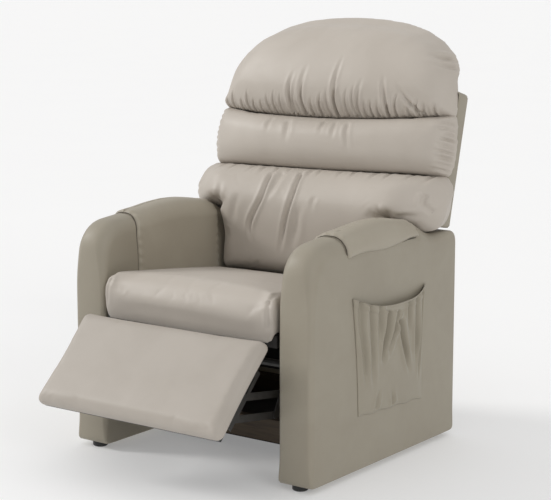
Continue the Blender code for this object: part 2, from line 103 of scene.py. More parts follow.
def through(x: Array, knots: Sequence[tuple[float, float]]) -> Array:
    """A smooth line through knots: cubic pieces whose slopes are the finite differences at the knots.

    Args:
        x: where the line is wanted.
        knots: (place, height) pairs in rising order of place.

    Returns:
        The line's height at each x.
    """
    table = np.array(knots, float)
    kx, ky = table[:, 0], table[:, 1]
    slope = np.gradient(ky, kx)
    x = np.clip(x, kx[0], kx[-1])
    i = np.clip(np.searchsorted(kx, x, side="right") - 1, 0, len(kx) - 2)
    step = kx[i + 1] - kx[i]
    q = (x - kx[i]) / step
    return (
        (2 * q**3 - 3 * q**2 + 1) * ky[i]
        + (q**3 - 2 * q**2 + q) * step * slope[i]
        + (3 * q**2 - 2 * q**3) * ky[i + 1]
        + (q**3 - q**2) * step * slope[i + 1]
    )


def resample(loop: Array, count: int) -> Array:
    """Points at equal steps of arc length round a closed line.

    Args:
        loop: an (n, k) array of corners.
        count: how many points are wanted.

    Returns:
        The (count, k) points.
    """
    closed = np.vstack([loop, loop[:1]])
    run = np.concatenate([[0], np.cumsum(np.linalg.norm(np.diff(closed, axis=0), axis=1))])
    at = np.linspace(0, run[-1], count, endpoint=False)
    return np.stack([np.interp(at, run, closed[:, k]) for k in range(loop.shape[1])], -1)


def relax(loop: Array, rounds: int) -> Array:
    """A closed line smoothed: each round takes a quarter, a half and a quarter of three neighbours.

    Args:
        loop: an (n, k) array of points.
        rounds: how often it is smoothed.

    Returns:
        The smoothed points.
    """
    for _ in range(rounds):
        loop = 0.25 * np.roll(loop, 1, 0) + 0.5 * loop + 0.25 * np.roll(loop, -1, 0)
    return loop


def inward(loop: Array) -> Array:
    """Unit normals of a closed plane line that runs anticlockwise, pointing to its inside.

    Args:
        loop: an (n, 2) array of points.

    Returns:
        An (n, 2) array of unit normals.
    """
    along = np.roll(loop, -1, 0) - np.roll(loop, 1, 0)
    along /= np.linalg.norm(along, axis=1, keepdims=True)
    return np.stack([-along[:, 1], along[:, 0]], -1)


def anticlockwise(loop: Array) -> Array:
    """The same closed line, turned round if it runs clockwise by the sign of its area.

    Args:
        loop: an (n, 2) array of points.

    Returns:
        The same points, in the order that runs anticlockwise.
    """
    x, y = loop.T
    area = np.sum(x * np.roll(y, -1) - y * np.roll(x, -1))
    return loop if area > 0 else loop[::-1]


def away(points: Array, loop: Array) -> Array:
    """Distance from each point to the nearest place on a closed line of straight pieces.

    Args:
        points: an (n, 2) array.
        loop: the corners of the closed line.

    Returns:
        n distances.
    """
    best = np.full(len(points), np.inf)
    for a, b in zip(loop, np.roll(loop, -1, 0)):
        run = b - a
        q = np.clip((points - a) @ run / max(float(run @ run), 1e-12), 0, 1)
        best = np.minimum(best, np.linalg.norm(points - a - q[:, None] * run, axis=1))
    return best


def arc(centre: tuple[float, float], radius: float, start: float, end: float, steps: int) -> Array:
    """Points of a circular arc between two angles in degrees."""
    a = np.radians(np.linspace(start, end, steps))
    return np.stack([centre[0] + radius * np.cos(a), centre[1] + radius * np.sin(a)], -1)


def unit_grid(rows: int, cols: int) -> tuple[Array, Array]:
    """Two grids of 0 to 1: the first runs along the rows, the second along the columns."""
    return np.meshgrid(np.linspace(0, 1, rows), np.linspace(0, 1, cols), indexing="ij")


def rounded_box(half: float, low: float, high: float, radius: float = 0.014) -> Array:
    """300 points round a rectangle with rounded corners, half wide each way and from low to high.

    Args:
        half: half of its width.
        low: its lower side.
        high: its upper side.
        radius: its corners' radius.

    Returns:
        A (300, 2) closed line that runs anticlockwise.
    """
    x, y0, y1 = half - radius, low + radius, high - radius
    turns = (((x, y0), -90), ((x, y1), 0), ((-x, y1), 90), ((-x, y0), 180))
    return resample(np.vstack([arc(centre, radius, a, a + 90, 8) for centre, a in turns]), 300)


def quads(index: Array) -> Array:
    """Faces between neighbouring numbers of a grid of point numbers."""
    return np.stack([index[:-1, :-1], index[1:, :-1], index[1:, 1:], index[:-1, 1:]], -1).reshape(-1, 4)


def solid(name: str, points: Array, faces: Sequence[Sequence[int]], smooth: bool = True) -> Piece:
    """A mesh object at the origin, its faces turned outwards.

    Args:
        name: the object's and the mesh's name.
        points: an (n, 3) array in metres.
        faces: point numbers of each face.
        smooth: whether the faces are shaded smooth.

    Returns:
        The linked object.
    """
    mesh = bpy.data.meshes.new(name)
    mesh.from_pydata(np.asarray(points, float).tolist(), [], [list(map(int, f)) for f in faces])
    work = bmesh.new()
    work.from_mesh(mesh)
    bmesh.ops.remove_doubles(work, verts=work.verts, dist=1e-6)
    bmesh.ops.recalc_face_normals(work, faces=work.faces)
    work.to_mesh(mesh)
    work.free()
    mesh.polygons.foreach_set("use_smooth", [smooth] * len(mesh.polygons))
    mesh.update()
    piece = bpy.data.objects.new(name, mesh)
    bpy.context.scene.collection.objects.link(piece)
    return piece


def ringed(name: str, loops: Array, first: Array | None = None, last: Array | None = None) -> Piece:
    """A closed shell from loops of points: neighbours are joined by quads, and each end by a fan to its pole.

    Args:
        name: the piece's name.
        loops: an (r, n, 3) array, r closed loops of n points.
        first: the pole next to the first loop, or nothing to join the last loop back to the first.
        last: the pole next to the last loop.

    Returns:
        The object.
    """
    rows, count = loops.shape[:2]
    index = np.arange(rows * count).reshape(rows, count)
    points = loops.reshape(-1, 3)
    wrapped = np.concatenate([index, index[:, :1]], 1)
    if first is None or last is None:
        faces = quads(np.concatenate([wrapped, wrapped[:1]], 0)).tolist()
        return solid(name, points, faces)
    faces = quads(wrapped).tolist()
    points = np.vstack([points, first, last])
    a, b = len(points) - 2, len(points) - 1
    faces += [[a, int(p), int(q)] for p, q in zip(wrapped[0, :-1], wrapped[0, 1:])]
    faces += [[b, int(q), int(p)] for p, q in zip(wrapped[-1, :-1], wrapped[-1, 1:])]
    return solid(name, points, faces)


def sheet_shell(name: str, top: Array, under: Array) -> Piece:
    """A closed shell from two grids of the same size, whose rims are joined by a strip of quads.

    Args:
        name: the piece's name.
        top: an (r, c, 3) grid of one face.
        under: the same for the other face.

    Returns:
        The object.
    """
    rows, cols = top.shape[:2]
    a = np.arange(rows * cols).reshape(rows, cols)
    b = a + rows * cols

    def rim(g: Array) -> Array:
        """The grid's outer point numbers, once round and back to the first."""
        return np.concatenate([g[0, :-1], g[:-1, -1], g[-1, :0:-1], g[:0:-1, 0], g[0, :1]])

    strip = np.stack([rim(a), rim(b)])
    faces = quads(a).tolist() + quads(b)[:, ::-1].tolist() + quads(strip).tolist()
    return solid(name, np.vstack([top.reshape(-1, 3), under.reshape(-1, 3)]), faces)


def cord(name: str, path: Array, radius: float, closed: bool, sides: int = 8) -> Piece:
    """A thread or piping: a circle of the given radius carried along a path, square to it.

    The circle's axes are the path's cross products with a fixed up vector, so it never twists.

    Args:
        name: the piece's name.
        path: an (n, 3) array of points along its middle.
        radius: the cord's radius.
        closed: whether the path ends where it starts.
        sides: how many corners its section has.

    Returns:
        The object.
    """
    if closed:
        along = np.roll(path, -1, 0) - np.roll(path, 1, 0)
    else:
        along = np.gradient(path, axis=0)
    along /= np.linalg.norm(along, axis=1, keepdims=True)
    up = np.array([0.37, 0.21, 0.9])
    side = np.cross(along, up)
    side /= np.linalg.norm(side, axis=1, keepdims=True)
    lift = np.cross(side, along)
    a = np.linspace(0, 2 * math.pi, sides, endpoint=False)[:, None, None]
    tube = path[None] + radius * (np.cos(a) * side[None] + np.sin(a) * lift[None])
    tube = np.swapaxes(tube, 0, 1)
    if closed:
        return ringed(name, tube)
    return ringed(name, tube, path[0], path[-1])


def coords(piece: Piece, what: str = "co") -> Array:
    """A mesh's point places, or its point normals where what is 'normal', as an (n, 3) array.

    Args:
        piece: a mesh object.
        what: 'co' or 'normal'.

    Returns:
        An (n, 3) array.
    """
    vertices = piece.data.vertices
    out = np.empty(len(vertices) * 3, np.float32)
    vertices.foreach_get(what, out)
    return out.reshape(-1, 3).astype(float)


def put(piece: Piece, points: Array) -> None:
    """Moves a mesh's points to new places."""
    piece.data.vertices.foreach_set("co", points.astype(np.float32).ravel())
    piece.data.update()


def settle(piece: Piece) -> None:
    """Keeps what a piece's modifiers make as its plain mesh, and removes them."""
    graph = bpy.context.evaluated_depsgraph_get()
    mesh = bpy.data.meshes.new_from_object(piece.evaluated_get(graph))
    piece.modifiers.clear()
    piece.data = mesh
    mesh.polygons.foreach_set("use_smooth", [True] * len(mesh.polygons))
    mesh.update()


@dataclass(frozen=True)
class Stuffing:
    """How a soft shell is remeshed and blown up by the cloth simulation.

    Args:
        voxel: the remesh size.
        swell: the most that a point may move.
        pressure: the cloth's inner pressure.
        frames: how many steps the simulation runs for.
    """

    voxel: float
    swell: float
    pressure: float = 4.0
    frames: int = 20

    def fill(self, piece: Piece, hold: Callable[[Array], Array]) -> None:
        """Remeshes the shell evenly, lets cloth under pressure find its rounded form, and subdivides.

        Each point moves by its simulated step, its length L cut to swell·tanh(L / swell), times hold.

        Args:
            piece: the closed shell.
            hold: gives each point's share of movement from its place, 0 where it lies on something.
        """
        even = piece.modifiers.new("even", "REMESH")
        even.mode = "VOXEL"
        even.voxel_size = self.voxel
        soft = piece.modifiers.new("soft", "SMOOTH")
        soft.factor, soft.iterations = 0.5, 4
        settle(piece)
        self.blow(piece, hold)
        finer = piece.modifiers.new("finer", "SUBSURF")
        finer.levels = finer.render_levels = 1
        settle(piece)

    def blow(self, piece: Piece, hold: Callable[[Array], Array]) -> None:
        """Runs the cloth simulation on the mesh and applies its result.

        Args:
            piece: the remeshed shell.
            hold: gives each point's share of its movement.
        """
        start = coords(piece)
        cloth = piece.modifiers.new("swell", "CLOTH")
        settings = cloth.settings
        settings.quality, settings.mass = 4, 0.3
        settings.tension_stiffness = settings.compression_stiffness = 12.0
        settings.shear_stiffness = 4.0
        settings.bending_stiffness = 0.6
        settings.use_pressure = True
        settings.uniform_pressure_force = self.pressure
        settings.effector_weights.gravity = 0
        cloth.collision_settings.use_collision = cloth.collision_settings.use_self_collision = False
        cloth.point_cache.frame_start, cloth.point_cache.frame_end = 1, self.frames
        scene = bpy.context.scene
        for number in range(1, self.frames + 1):
            scene.frame_set(number)
        settle(piece)
        scene.frame_set(1)
        move = coords(piece) - start
        length = np.linalg.norm(move, axis=1, keepdims=True) + 1e-9
        put(piece, start + move * self.swell * np.tanh(length / self.swell) / length * hold(start)[:, None])


@dataclass(frozen=True)
class Crease:
    """A fold pressed into a soft surface.

    Its section is a valley, −e^(−q²), between two low shoulders, 0.4·e^(−(q − 2)²), with q the distance
    from the line in widths.

    Args:
        path: corners of the line, which is drawn as a smooth curve through them.
        depth: how deep the valley is.
        width: how wide it is.
        start: the share of the length over which it deepens.
        end: the share of the length over which it dies out.
    """

    path: tuple[tuple[float, ...], ...]
    depth: float
    width: float
    start: float = 0.05
    end: float = 0.6

    def press(self, places: Array) -> Array:
        """How far each point moves along its normal.

        Args:
            places: the points, in as many coordinates as the path has.

        Returns:
            The movement of each point, outwards where positive.
        """
        knots = np.array(self.path, float)
        t = np.linspace(0, 1, len(knots))
        steps = np.linspace(0, 1, 28)
        line = np.stack([through(steps, list(zip(t, knots[:, k]))) for k in range(knots.shape[1])], -1)
        near = (np.abs(places - line.mean(0)) < np.ptp(line, axis=0) / 2 + 5 * self.width).all(1)
        gap = np.full(len(places), np.inf)
        share = np.zeros(len(places))
        for k in range(len(line) - 1):
            a, run = line[k], line[k + 1] - line[k]
            q = np.clip((places[near] - a) @ run / max(float(run @ run), 1e-12), 0, 1)
            d = np.linalg.norm(places[near] - a - q[:, None] * run, axis=1)
            closer = d < gap[near]
            where = np.flatnonzero(near)[closer]
            gap[where] = d[closer]
            share[where] = (k + q[closer]) / (len(line) - 1)
        strength = ease(0, max(self.start, 1e-3), share + 1e-3) * (1 - ease(1 - self.end, 1, share))
        q = np.where(near, gap, 1.0) / self.width
        return self.depth * strength * (0.4 * np.exp(-((q - 2.0) ** 2)) - np.exp(-(q**2)))


def fold(piece: Piece, places: Array, creases: Sequence[Crease], share: Array | float = 1.0) -> None:
    """Presses creases into a piece along its normals, share being how much of them each point takes."""
    move = sum(c.press(places) for c in creases) * share
    put(piece, coords(piece) + coords(piece, "normal") * move[:, None])


# ---------------------------------------------------------------- finishes


class Tone(Enum):
    """The chair's two batches of faux leather, and the shell's made lighter for the caps as painted light, in
    linear middle, dark and light tones.
    """

    CUSHION = ((0.470, 0.424, 0.372), (0.452, 0.406, 0.354), (0.488, 0.441, 0.388))
    # CAP is SHELL made about 1.17 times lighter: painted light on the arm caps.
    CAP = ((0.352, 0.315, 0.250), (0.340, 0.303, 0.239), (0.365, 0.328, 0.262))
    SHELL = ((0.302, 0.270, 0.211), (0.291, 0.259, 0.202), (0.314, 0.282, 0.221))


class Nodes:
    """A small helper that adds shader nodes to a material and links them."""

    def __init__(self, name: str) -> None:
        """Starts an empty node material."""
        self.material = bpy.data.materials.new(name)
        self.material.use_nodes = True
        self.tree = self.material.node_tree
        self.tree.nodes.clear()
        self.out = self.tree.nodes.new("ShaderNodeOutputMaterial")
        self.shader = self.tree.nodes.new("ShaderNodeBsdfPrincipled")
        self.link(self.shader.outputs[0], self.out.inputs[0])
        self.place = self.tree.nodes.new("ShaderNodeTexCoord").outputs["Object"]

    def link(self, source: Socket, target: Socket) -> None:
        """Joins two sockets."""
        self.tree.links.new(source, target)

    def stretched(self, scale: Sequence[float]) -> Socket:
        """Object coordinates times a scale on each axis.

        Args:
            scale: a factor for each axis.

        Returns:
            The stretched coordinates.
        """
        node = self.tree.nodes.new("ShaderNodeMapping")
        node.inputs["Scale"].default_value = scale
        self.link(self.place, node.inputs["Vector"])
        return node.outputs[0]

    def noise(self, scale: float, detail: float = 3.0, warp: float = 0.0,
              source: Socket | None = None) -> Socket:
        """Fractal noise of a given scale per metre.

        Args:
            scale: waves per metre.
            detail: how many finer octaves are added.
            warp: how much the pattern is bent by itself.
            source: its coordinates, or nothing for Object coordinates.

        Returns:
            Values of 0 to 1.
        """
        node = self.tree.nodes.new("ShaderNodeTexNoise")
        node.inputs["Scale"].default_value = scale
        node.inputs["Detail"].default_value = detail
        node.inputs["Distortion"].default_value = warp
        self.link(source or self.place, node.inputs["Vector"])
        return node.outputs[0]

    def cells(self, scale: float, feature: str = "F1") -> Socket:
        """Distance within random cells, for pebbled grain.

        Args:
            scale: cells per metre.
            feature: which distance is measured.

        Returns:
            The distance.
        """
        node = self.tree.nodes.new("ShaderNodeTexVoronoi")
        node.feature = feature
        node.inputs["Scale"].default_value = scale
        self.link(self.place, node.inputs["Vector"])
        return node.outputs["Distance"]

    def ramp(self, value: Socket, stops: Sequence[tuple[float, Colour]]) -> Socket:
        """A colour for each value, blended between stops.

        Args:
            value: what the colour depends on.
            stops: (value, colour) pairs in rising order.

        Returns:
            The colour.
        """
        node = self.tree.nodes.new("ShaderNodeValToRGB")
        bar = node.color_ramp.elements
        while len(bar) < len(stops):
            bar.new(0.5)
        for element, (at, colour) in zip(bar, stops):
            element.position = at
            element.color = (*colour, 1)
        self.link(value, node.inputs[0])
        return node.outputs[0]

    def span(self, value: Socket, low: float, high: float) -> Socket:
        """A value of 0 to 1 spread from low to high.

        Args:
            value: numbers of 0 to 1.
            low: what 0 becomes.
            high: what 1 becomes.

        Returns:
            The spread value.
        """
        node = self.tree.nodes.new("ShaderNodeMapRange")
        node.inputs["To Min"].default_value = low
        node.inputs["To Max"].default_value = high
        self.link(value, node.inputs["Value"])
        return node.outputs[0]

    def bump(self, height: Socket, strength: float, distance: float,
             below: Socket | None = None) -> Socket:
        """A bump of the given height in metres, on top of another one.

        Args:
            height: the relief, 0 to 1.
            strength: how much of it shows.
            distance: its height in metres.
            below: a coarser bump that it lies on.

        Returns:
            The bumped normal.
        """
        node = self.tree.nodes.new("ShaderNodeBump")
        node.inputs["Strength"].default_value = strength
        node.inputs["Distance"].default_value = distance
        self.link(height, node.inputs["Height"])
        if below is not None:
            self.link(below, node.inputs["Normal"])
        return node.outputs[0]

    def darkened(self, colour: Socket, low: float, high: float, least: float) -> Socket:
        """Painted shade: a colour times a share of light that runs from least at height low to 1 at height
        high.

        Args:
            colour: the colour in full light.
            low: the height where it is darkest.
            high: the height from which it is in full light.
            least: its share of light at low.

        Returns:
            The darkened colour.
        """
        kinds = ("SeparateXYZ", "MapRange", "VectorMath")
        parts, share, product = (self.tree.nodes.new(f"ShaderNode{kind}") for kind in kinds)
        product.operation = "SCALE"
        self.link(self.place, parts.inputs[0])
        self.link(parts.outputs["Z"], share.inputs["Value"])
        for socket, value in (("From Min", low), ("From Max", high), ("To Min", least)):
            share.inputs[socket].default_value = value
        self.link(colour, product.inputs[0])
        self.link(share.outputs["Result"], product.inputs["Scale"])
        return product.outputs["Vector"]

    def set(self, **values: float | Colour) -> None:
        """Sets numbers and colours straight on the shader's sockets, underscores standing for spaces."""
        for key, value in values.items():
            self.shader.inputs[key.replace("_", " ")].default_value = value

    def feed(self, socket: str, source: Socket) -> None:
        """Links a pattern to one of the shader's sockets."""
        self.link(source, self.shader.inputs[socket])


@dataclass(frozen=True)
class Leather:
    """Soft faux leather: pebbled grain, finer pores, slow waves of slack and a matte satin top coat."""

    name: str
    tone: Tone
    slack: float = 0.0005
    roughness: tuple[float, float] = (0.44, 0.60)
    # shade: painted shade as (low height, high height, least share of light), or nothing
    shade: tuple[float, float, float] | None = None

    def material(self) -> Material:
        """The finish as shader nodes on Object coordinates.

        Returns:
            The material.
        """
        n = Nodes(self.name)
        middle, dark, light = self.tone.value
        cloudy = n.noise(9.0, 5.0, 0.4)
        colour = n.ramp(cloudy, [(0.30, dark), (0.50, middle), (0.72, light)])
        # Where shade is given, painted shade darkens the colour lower down on the piece.
        n.feed("Base Color", n.darkened(colour, *self.shade) if self.shade else colour)
        grain = n.cells(620.0, "SMOOTH_F1")
        pores = n.noise(1900.0, 2.0)
        waves = n.noise(16.0, 3.0, 0.6)
        relief = n.bump(waves, 0.7, self.slack)
        relief = n.bump(grain, 0.30, 0.00035, relief)
        relief = n.bump(pores, 0.18, 0.00012, relief)
        n.feed("Normal", relief)
        n.feed("Roughness", n.span(n.noise(40.0, 4.0), *self.roughness))
        n.set(Specular_IOR_Level=0.42, IOR=1.5, Sheen_Weight=0.06, Sheen_Roughness=0.5, Coat_Weight=0.04,
              Coat_Roughness=0.45)
        return n.material


@dataclass(frozen=True)
class Timber:
    """Sawn pale softwood with long grain along one axis."""

    name: str
    grain: tuple[float, float, float] = (3.0, 60.0, 60.0)
    stain: float = 1.0

    def material(self) -> Material:
        """Streaks of growth rings by noise stretched along the grain, with a fine sawn bump.

        Returns:
            The material.
        """
        n = Nodes(self.name)
        rings = n.noise(1.6, 6.0, 1.2, n.stretched(self.grain))
        tones = ((0.3, (0.30, 0.18, 0.085)), (0.55, (0.52, 0.35, 0.19)), (0.75, (0.62, 0.45, 0.27)))
        n.feed("Base Color", n.ramp(rings, [(at, tuple(c * self.stain for c in tone)) for at, tone in tones]))
        n.feed("Normal", n.bump(rings, 0.4, 0.0005))
        n.feed("Roughness", n.span(rings, 0.55, 0.75))
        return n.material


@dataclass(frozen=True)
class Metal:
    """Painted or plated steel: fine orange peel or brushing, with scuffs that change its gloss."""

    name: str
    dark: Colour
    light: Colour
    metallic: float
    roughness: tuple[float, float]
    grain: tuple[float, float, float] = (90.0, 90.0, 90.0)

    def material(self) -> Material:
        """Cloudy colour, a fine bump and uneven roughness.

        Returns:
            The material.
        """
        n = Nodes(self.name)
        peel = n.noise(6.0, 4.0, 0.0, n.stretched(self.grain))
        n.feed("Base Color", n.ramp(n.noise(55.0, 5.0, 0.5), [(0.35, self.dark), (0.72, self.light)]))
        n.feed("Normal", n.bump(peel, 0.25, 0.0003))
        n.feed("Roughness", n.span(peel, *self.roughness))
        n.set(Metallic=self.metallic)
        return n.material


@dataclass(frozen=True)
class Cambric:
    """Black non-woven cloth with a pressed dimple pattern, for the rear flap, the skirt and the sheets of
    painted shade inside the base.
    """

    name: str = "cambric_black"

    def material(self) -> Material:
        """Dimples and matted fibres in near black.

        Returns:
            The material.
        """
        n = Nodes(self.name)
        tones = [(0.3, (0.010, 0.009, 0.008)), (0.7, (0.020, 0.018, 0.016))]
        n.feed("Base Color", n.ramp(n.noise(160.0, 4.0, 1.0), tones))
        n.feed("Normal", n.bump(n.cells(500.0), 0.6, 0.0004))
        n.set(Roughness=0.9)
        return n.material


@dataclass(frozen=True)
class Floor:
    """A pale painted studio floor."""

    name: str = "studio_floor"
    glow: float = 0.23

    def material(self) -> Material:
        """An even off-white with a trace of roller texture.

        Returns:
            The material.
        """
        n = Nodes(self.name)
        n.feed("Base Color", n.ramp(n.noise(1.3, 3.0), [(0.2, (0.695,) * 3), (0.8, (0.705,) * 3)]))
        n.feed("Normal", n.bump(n.noise(240.0, 2.0), 0.05, 0.0002))
        n.set(Roughness=0.62, Specular_IOR_Level=0.25, Emission_Strength=self.glow)
        n.shader.inputs["Emission Color"].default_value = (1.0, 1.0, 1.0, 1.0)
        return n.material


class Wardrobe:
    """All the finishes, made once."""

    def __init__(self) -> None:
        """Makes the materials."""
        self.cushion = Leather("leather_cushion", Tone.CUSHION).material()
        # Painted shade: the seat cushion's front darkens from height 0.475 to 0.86 at 0.405, and the footrest
        # pad, lower down, is 0.86 all over.
        self.seat = Leather("leather_seat", Tone.CUSHION, shade=(0.405, 0.475, 0.86)).material()
        self.shell = Leather("leather_shell", Tone.SHELL, slack=0.0004).material()
        # The caps' leather: the shell's, lighter as painted light.
        self.cap = Leather("leather_cap", Tone.CAP, slack=0.0004).material()
        # Dark seam thread, which also paints the shadow line under the caps' borders.
        self.thread = Metal(
            "seam_thread_and_shadow", (0.060, 0.050, 0.038), (0.095, 0.080, 0.062), 0.0, (0.6, 0.8)
        ).material()
        self.steel = Metal(
            "steel_black_paint", (0.016, 0.015, 0.014), (0.032, 0.030, 0.028), 0.0, (0.34, 0.52)
        ).material()
        self.zinc = Metal(
            "zinc_bright", (0.50, 0.51, 0.53), (0.66, 0.67, 0.69), 1.0, (0.24, 0.42), (8.0, 160.0, 160.0)
        ).material()
        self.plastic = Metal(
            "plastic_black_moulded", (0.012, 0.012, 0.012), (0.020, 0.020, 0.020), 0.0, (0.40, 0.55),
            (260.0, 260.0, 260.0)
        ).material()
        self.wood = Timber("timber_long").material()
        self.upright_wood = Timber("timber_upright", (60.0, 60.0, 3.0)).material()
        self.dark_wood = Timber("timber_stained", stain=0.12).material()
        self.cambric = Cambric().material()


def dress(piece: Piece, finish: Material) -> None:
    """Gives a piece its one material.

    Args:
        piece: a mesh object.
        finish: its material.
    """
    piece.data.materials.clear()
    piece.data.materials.append(finish)


# ---------------------------------------------------------------- sub-assemblies


@dataclass
class Upholstery:
    """What every padded sub-assembly shares: the finishes, the shift and the way a piece is handed over."""

    finishes: Wardrobe
    shift: float

    def hand_over(
        self,
        piece: Piece,
        body: str,
        finish: Material,
        slot: str,
        replaces: Sequence[str] = (),
        fill: float | None = None,
    ) -> Piece:
        """Dresses a piece, rides it on its body and hides the CAD nodes that it stands for.

        Args:
            piece: the finished mesh object.
            body: the body that it moves with.
            finish: its material.
            slot: its material slot, not used.
            replaces: the CAD nodes that it stands for.
            fill: how tight its stuffing is, or nothing where it isn't padded; not used.

        Returns:
            The same piece.
        """
        dress(piece, finish)
        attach(piece, body)
        if replaces:
            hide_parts(*replaces)
        LOG.info("%s rides on %s", piece.name, body)
        return piece


@dataclass
class Arms(Upholstery):
    """The two arms: padded shells over their boards, a cap on each and a gathered pocket on the near one."""

    inner: float = 0.275
    outer: float = 0.375
    foot: float = 0.0138
    rear: float = 0.334
    crown_radius: float = 0.044
    edge_radius: float = 0.016
    rear_radius: float = 0.010
    rear_corner: float = 0.028
    foot_radius: float = 0.006
    side_bulge: float = 0.0035
    inner_bulge: float = 0.25
    cap_front: float = -0.196
    cap_rear: float = 0.142
    cap_inner_low: float = 0.400
    cap_outer_low: float = 0.556
    cap_proud: float = 0.0060
    cap_dip: float = 0.0045
    pocket_belly: float = 0.0175
    pocket_thick: float = 0.0014
    seams: dict[int, Array] = field(default_factory=dict)

    @property
    def middle(self) -> float:
        """The arm's middle plane."""
        return (self.outer + self.inner) / 2

    @property
    def half(self) -> float:
        """Half of the arm's width."""
        return (self.outer - self.inner) / 2

    def outline(self) -> Array:
        """The arm's side as a closed line of (y, z): foot, straight rear, crown and a big front arc.

        Returns:
            A (300, 2) closed line in the frame, which runs anticlockwise.
        """
        low, back = self.foot_radius, self.rear_corner
        crown = [(0.228, 0.559), (0.200, 0.568), (0.167, 0.590), (0.125, 0.601), (0.082, 0.608),
                 (0.025, 0.614), (-0.032, 0.6165), (-0.095, 0.6145), (-0.156, 0.6085), (-0.205, 0.6025)]
        parts = [
            np.array([(-self.rear + low, self.foot), (self.rear - low, self.foot)]),
            arc((self.rear - low, self.foot + low), low, -70, 0, 4),
            arc((self.rear - back, 0.531), back, 0, 90, 9),
            np.array(crown),
            arc((-0.256, 0.520), 0.078, 92, 180, 22),
            arc((-self.rear + low, self.foot + low), low, 180, 250, 4),
        ]
        loop = relax(resample(np.vstack(parts), 900), 16)
        return anticlockwise(resample(loop, 300)) + (self.shift, 0)

    def radii(self, loop: Array) -> Array:
        """The rounding of the arm's edge: full along the crown, smaller down the front, least at the rear.

        Args:
            loop: the arm's outline.

        Returns:
            A radius for each of its points.
        """
        y, z = loop[:, 0] - self.shift, loop[:, 1]
        full = self.crown_radius
        front = self.edge_radius + (full - self.edge_radius) * ease(0.43, 0.585, z)
        rear = self.rear_radius + (full - self.rear_radius) * ease(0.30, 0.15, y) * ease(0.54, 0.56, z)
        r = np.where(y < 0, front, rear)
        low = ease(0.07, self.foot, z)
        return relax((r * (1 - low) + 0.005 * low)[:, None], 10)[:, 0]

    def side(self, y: Array, z: Array) -> Array:
        """How far the side faces stand out at a place, 0 at the edge and side_bulge well inside."""
        gap = away(np.stack([y, z], -1), self.outline()[::4])
        return self.side_bulge * ease(0.0, 0.13, gap)

    def shell(self, sign: int) -> Piece:
        """One arm: rings of its outline, drawn in by r(1 − sin a) where they turn over the edge by angle a.

        The side rings go on to the middle, pushed out by a smooth bulge that is weaker on the inner side.

        Args:
            sign: 1 for the left arm and -1 for the right one.

        Returns:
            The object.
        """
        loop, middle, half = self.outline(), self.middle, self.half
        normal, r = inward(loop), self.radii(loop)[:, None]
        centre = np.array([self.shift, 0.30])
        rim = loop + normal * r
        reach = (1 - np.linspace(0, 1, 17)[1:-1]) ** 1.35

        def flat_ring(share: float, face: int, bulge: float) -> Array:
            """A ring on one side face, drawn in to a share of the rim."""
            yz = centre + (rim - centre) * share
            return np.column_stack([middle + face * half + face * bulge * self.side(*yz.T), yz])

        edge = []
        for a in np.linspace(90, -90, 19):
            sine, cosine = math.sin(math.radians(a)), math.cos(math.radians(a))
            x = middle + np.sign(a) * (half - r + r * abs(sine)) if abs(a) > 1e-6 else np.full_like(r, middle)
            yz = loop + normal * r * (1 - abs(cosine))
            bulge = self.side(*yz.T)[:, None] * sine * (1.0 if a > 0 else self.inner_bulge)
            edge.append(np.column_stack([x + bulge, yz]))
        edge = [edge[0], *self.dip(np.array(edge[1:-1])), edge[-1]]
        rings = np.array([flat_ring(f, 1, 1.0) for f in reach[::-1]] + edge
                         + [flat_ring(f, -1, self.inner_bulge) for f in reach])
        poles = [np.array([middle + face * (half + self.side_bulge * bulge), *centre])
                 for face, bulge in ((1, 1.0), (-1, self.inner_bulge))]
        for points in (rings, *poles):
            points[..., 0] *= sign
        return ringed(f"arm_leather_{'L' if sign > 0 else 'R'}", rings, *poles)

    def dip(self, rings: Array) -> Array:
        """Draws the arm in by cap_dip under its cap, so that the cap's borders sink into a seam.

        Args:
            rings: points of the arm, as (..., 3).

        Returns:
            The same points, drawn in under the cap.
        """
        y, z, across = rings[..., 1] - self.shift, rings[..., 2], rings[..., 0] - self.middle
        low = np.where(across < 0, self.cap_inner_low, self.cap_outer_low)
        under = ease(self.cap_front - 0.002, self.cap_front + 0.002, y) * ease(low - 0.003, low + 0.003, z)
        under = under * ease(self.cap_rear + 0.002, self.cap_rear - 0.002, y) * self.cap_dip
        outward = np.clip(across / self.half, -1, 1)
        out = rings.copy()
        out[..., 0] -= outward * under
        out[..., 2] -= (1 - outward**2) * under * ease(0.5, 0.58, z)
        return out

    def crown_height(self, y: Array) -> Array:
        """The arm's top at a place along it, read from its outline.

        Args:
            y: places along the arm.

        Returns:
            The height of its top there.
        """
        loop = self.outline()
        top = loop[loop[:, 1] > 0.53]
        order = np.argsort(top[:, 0])
        return np.interp(y, top[order, 0], top[order, 1])

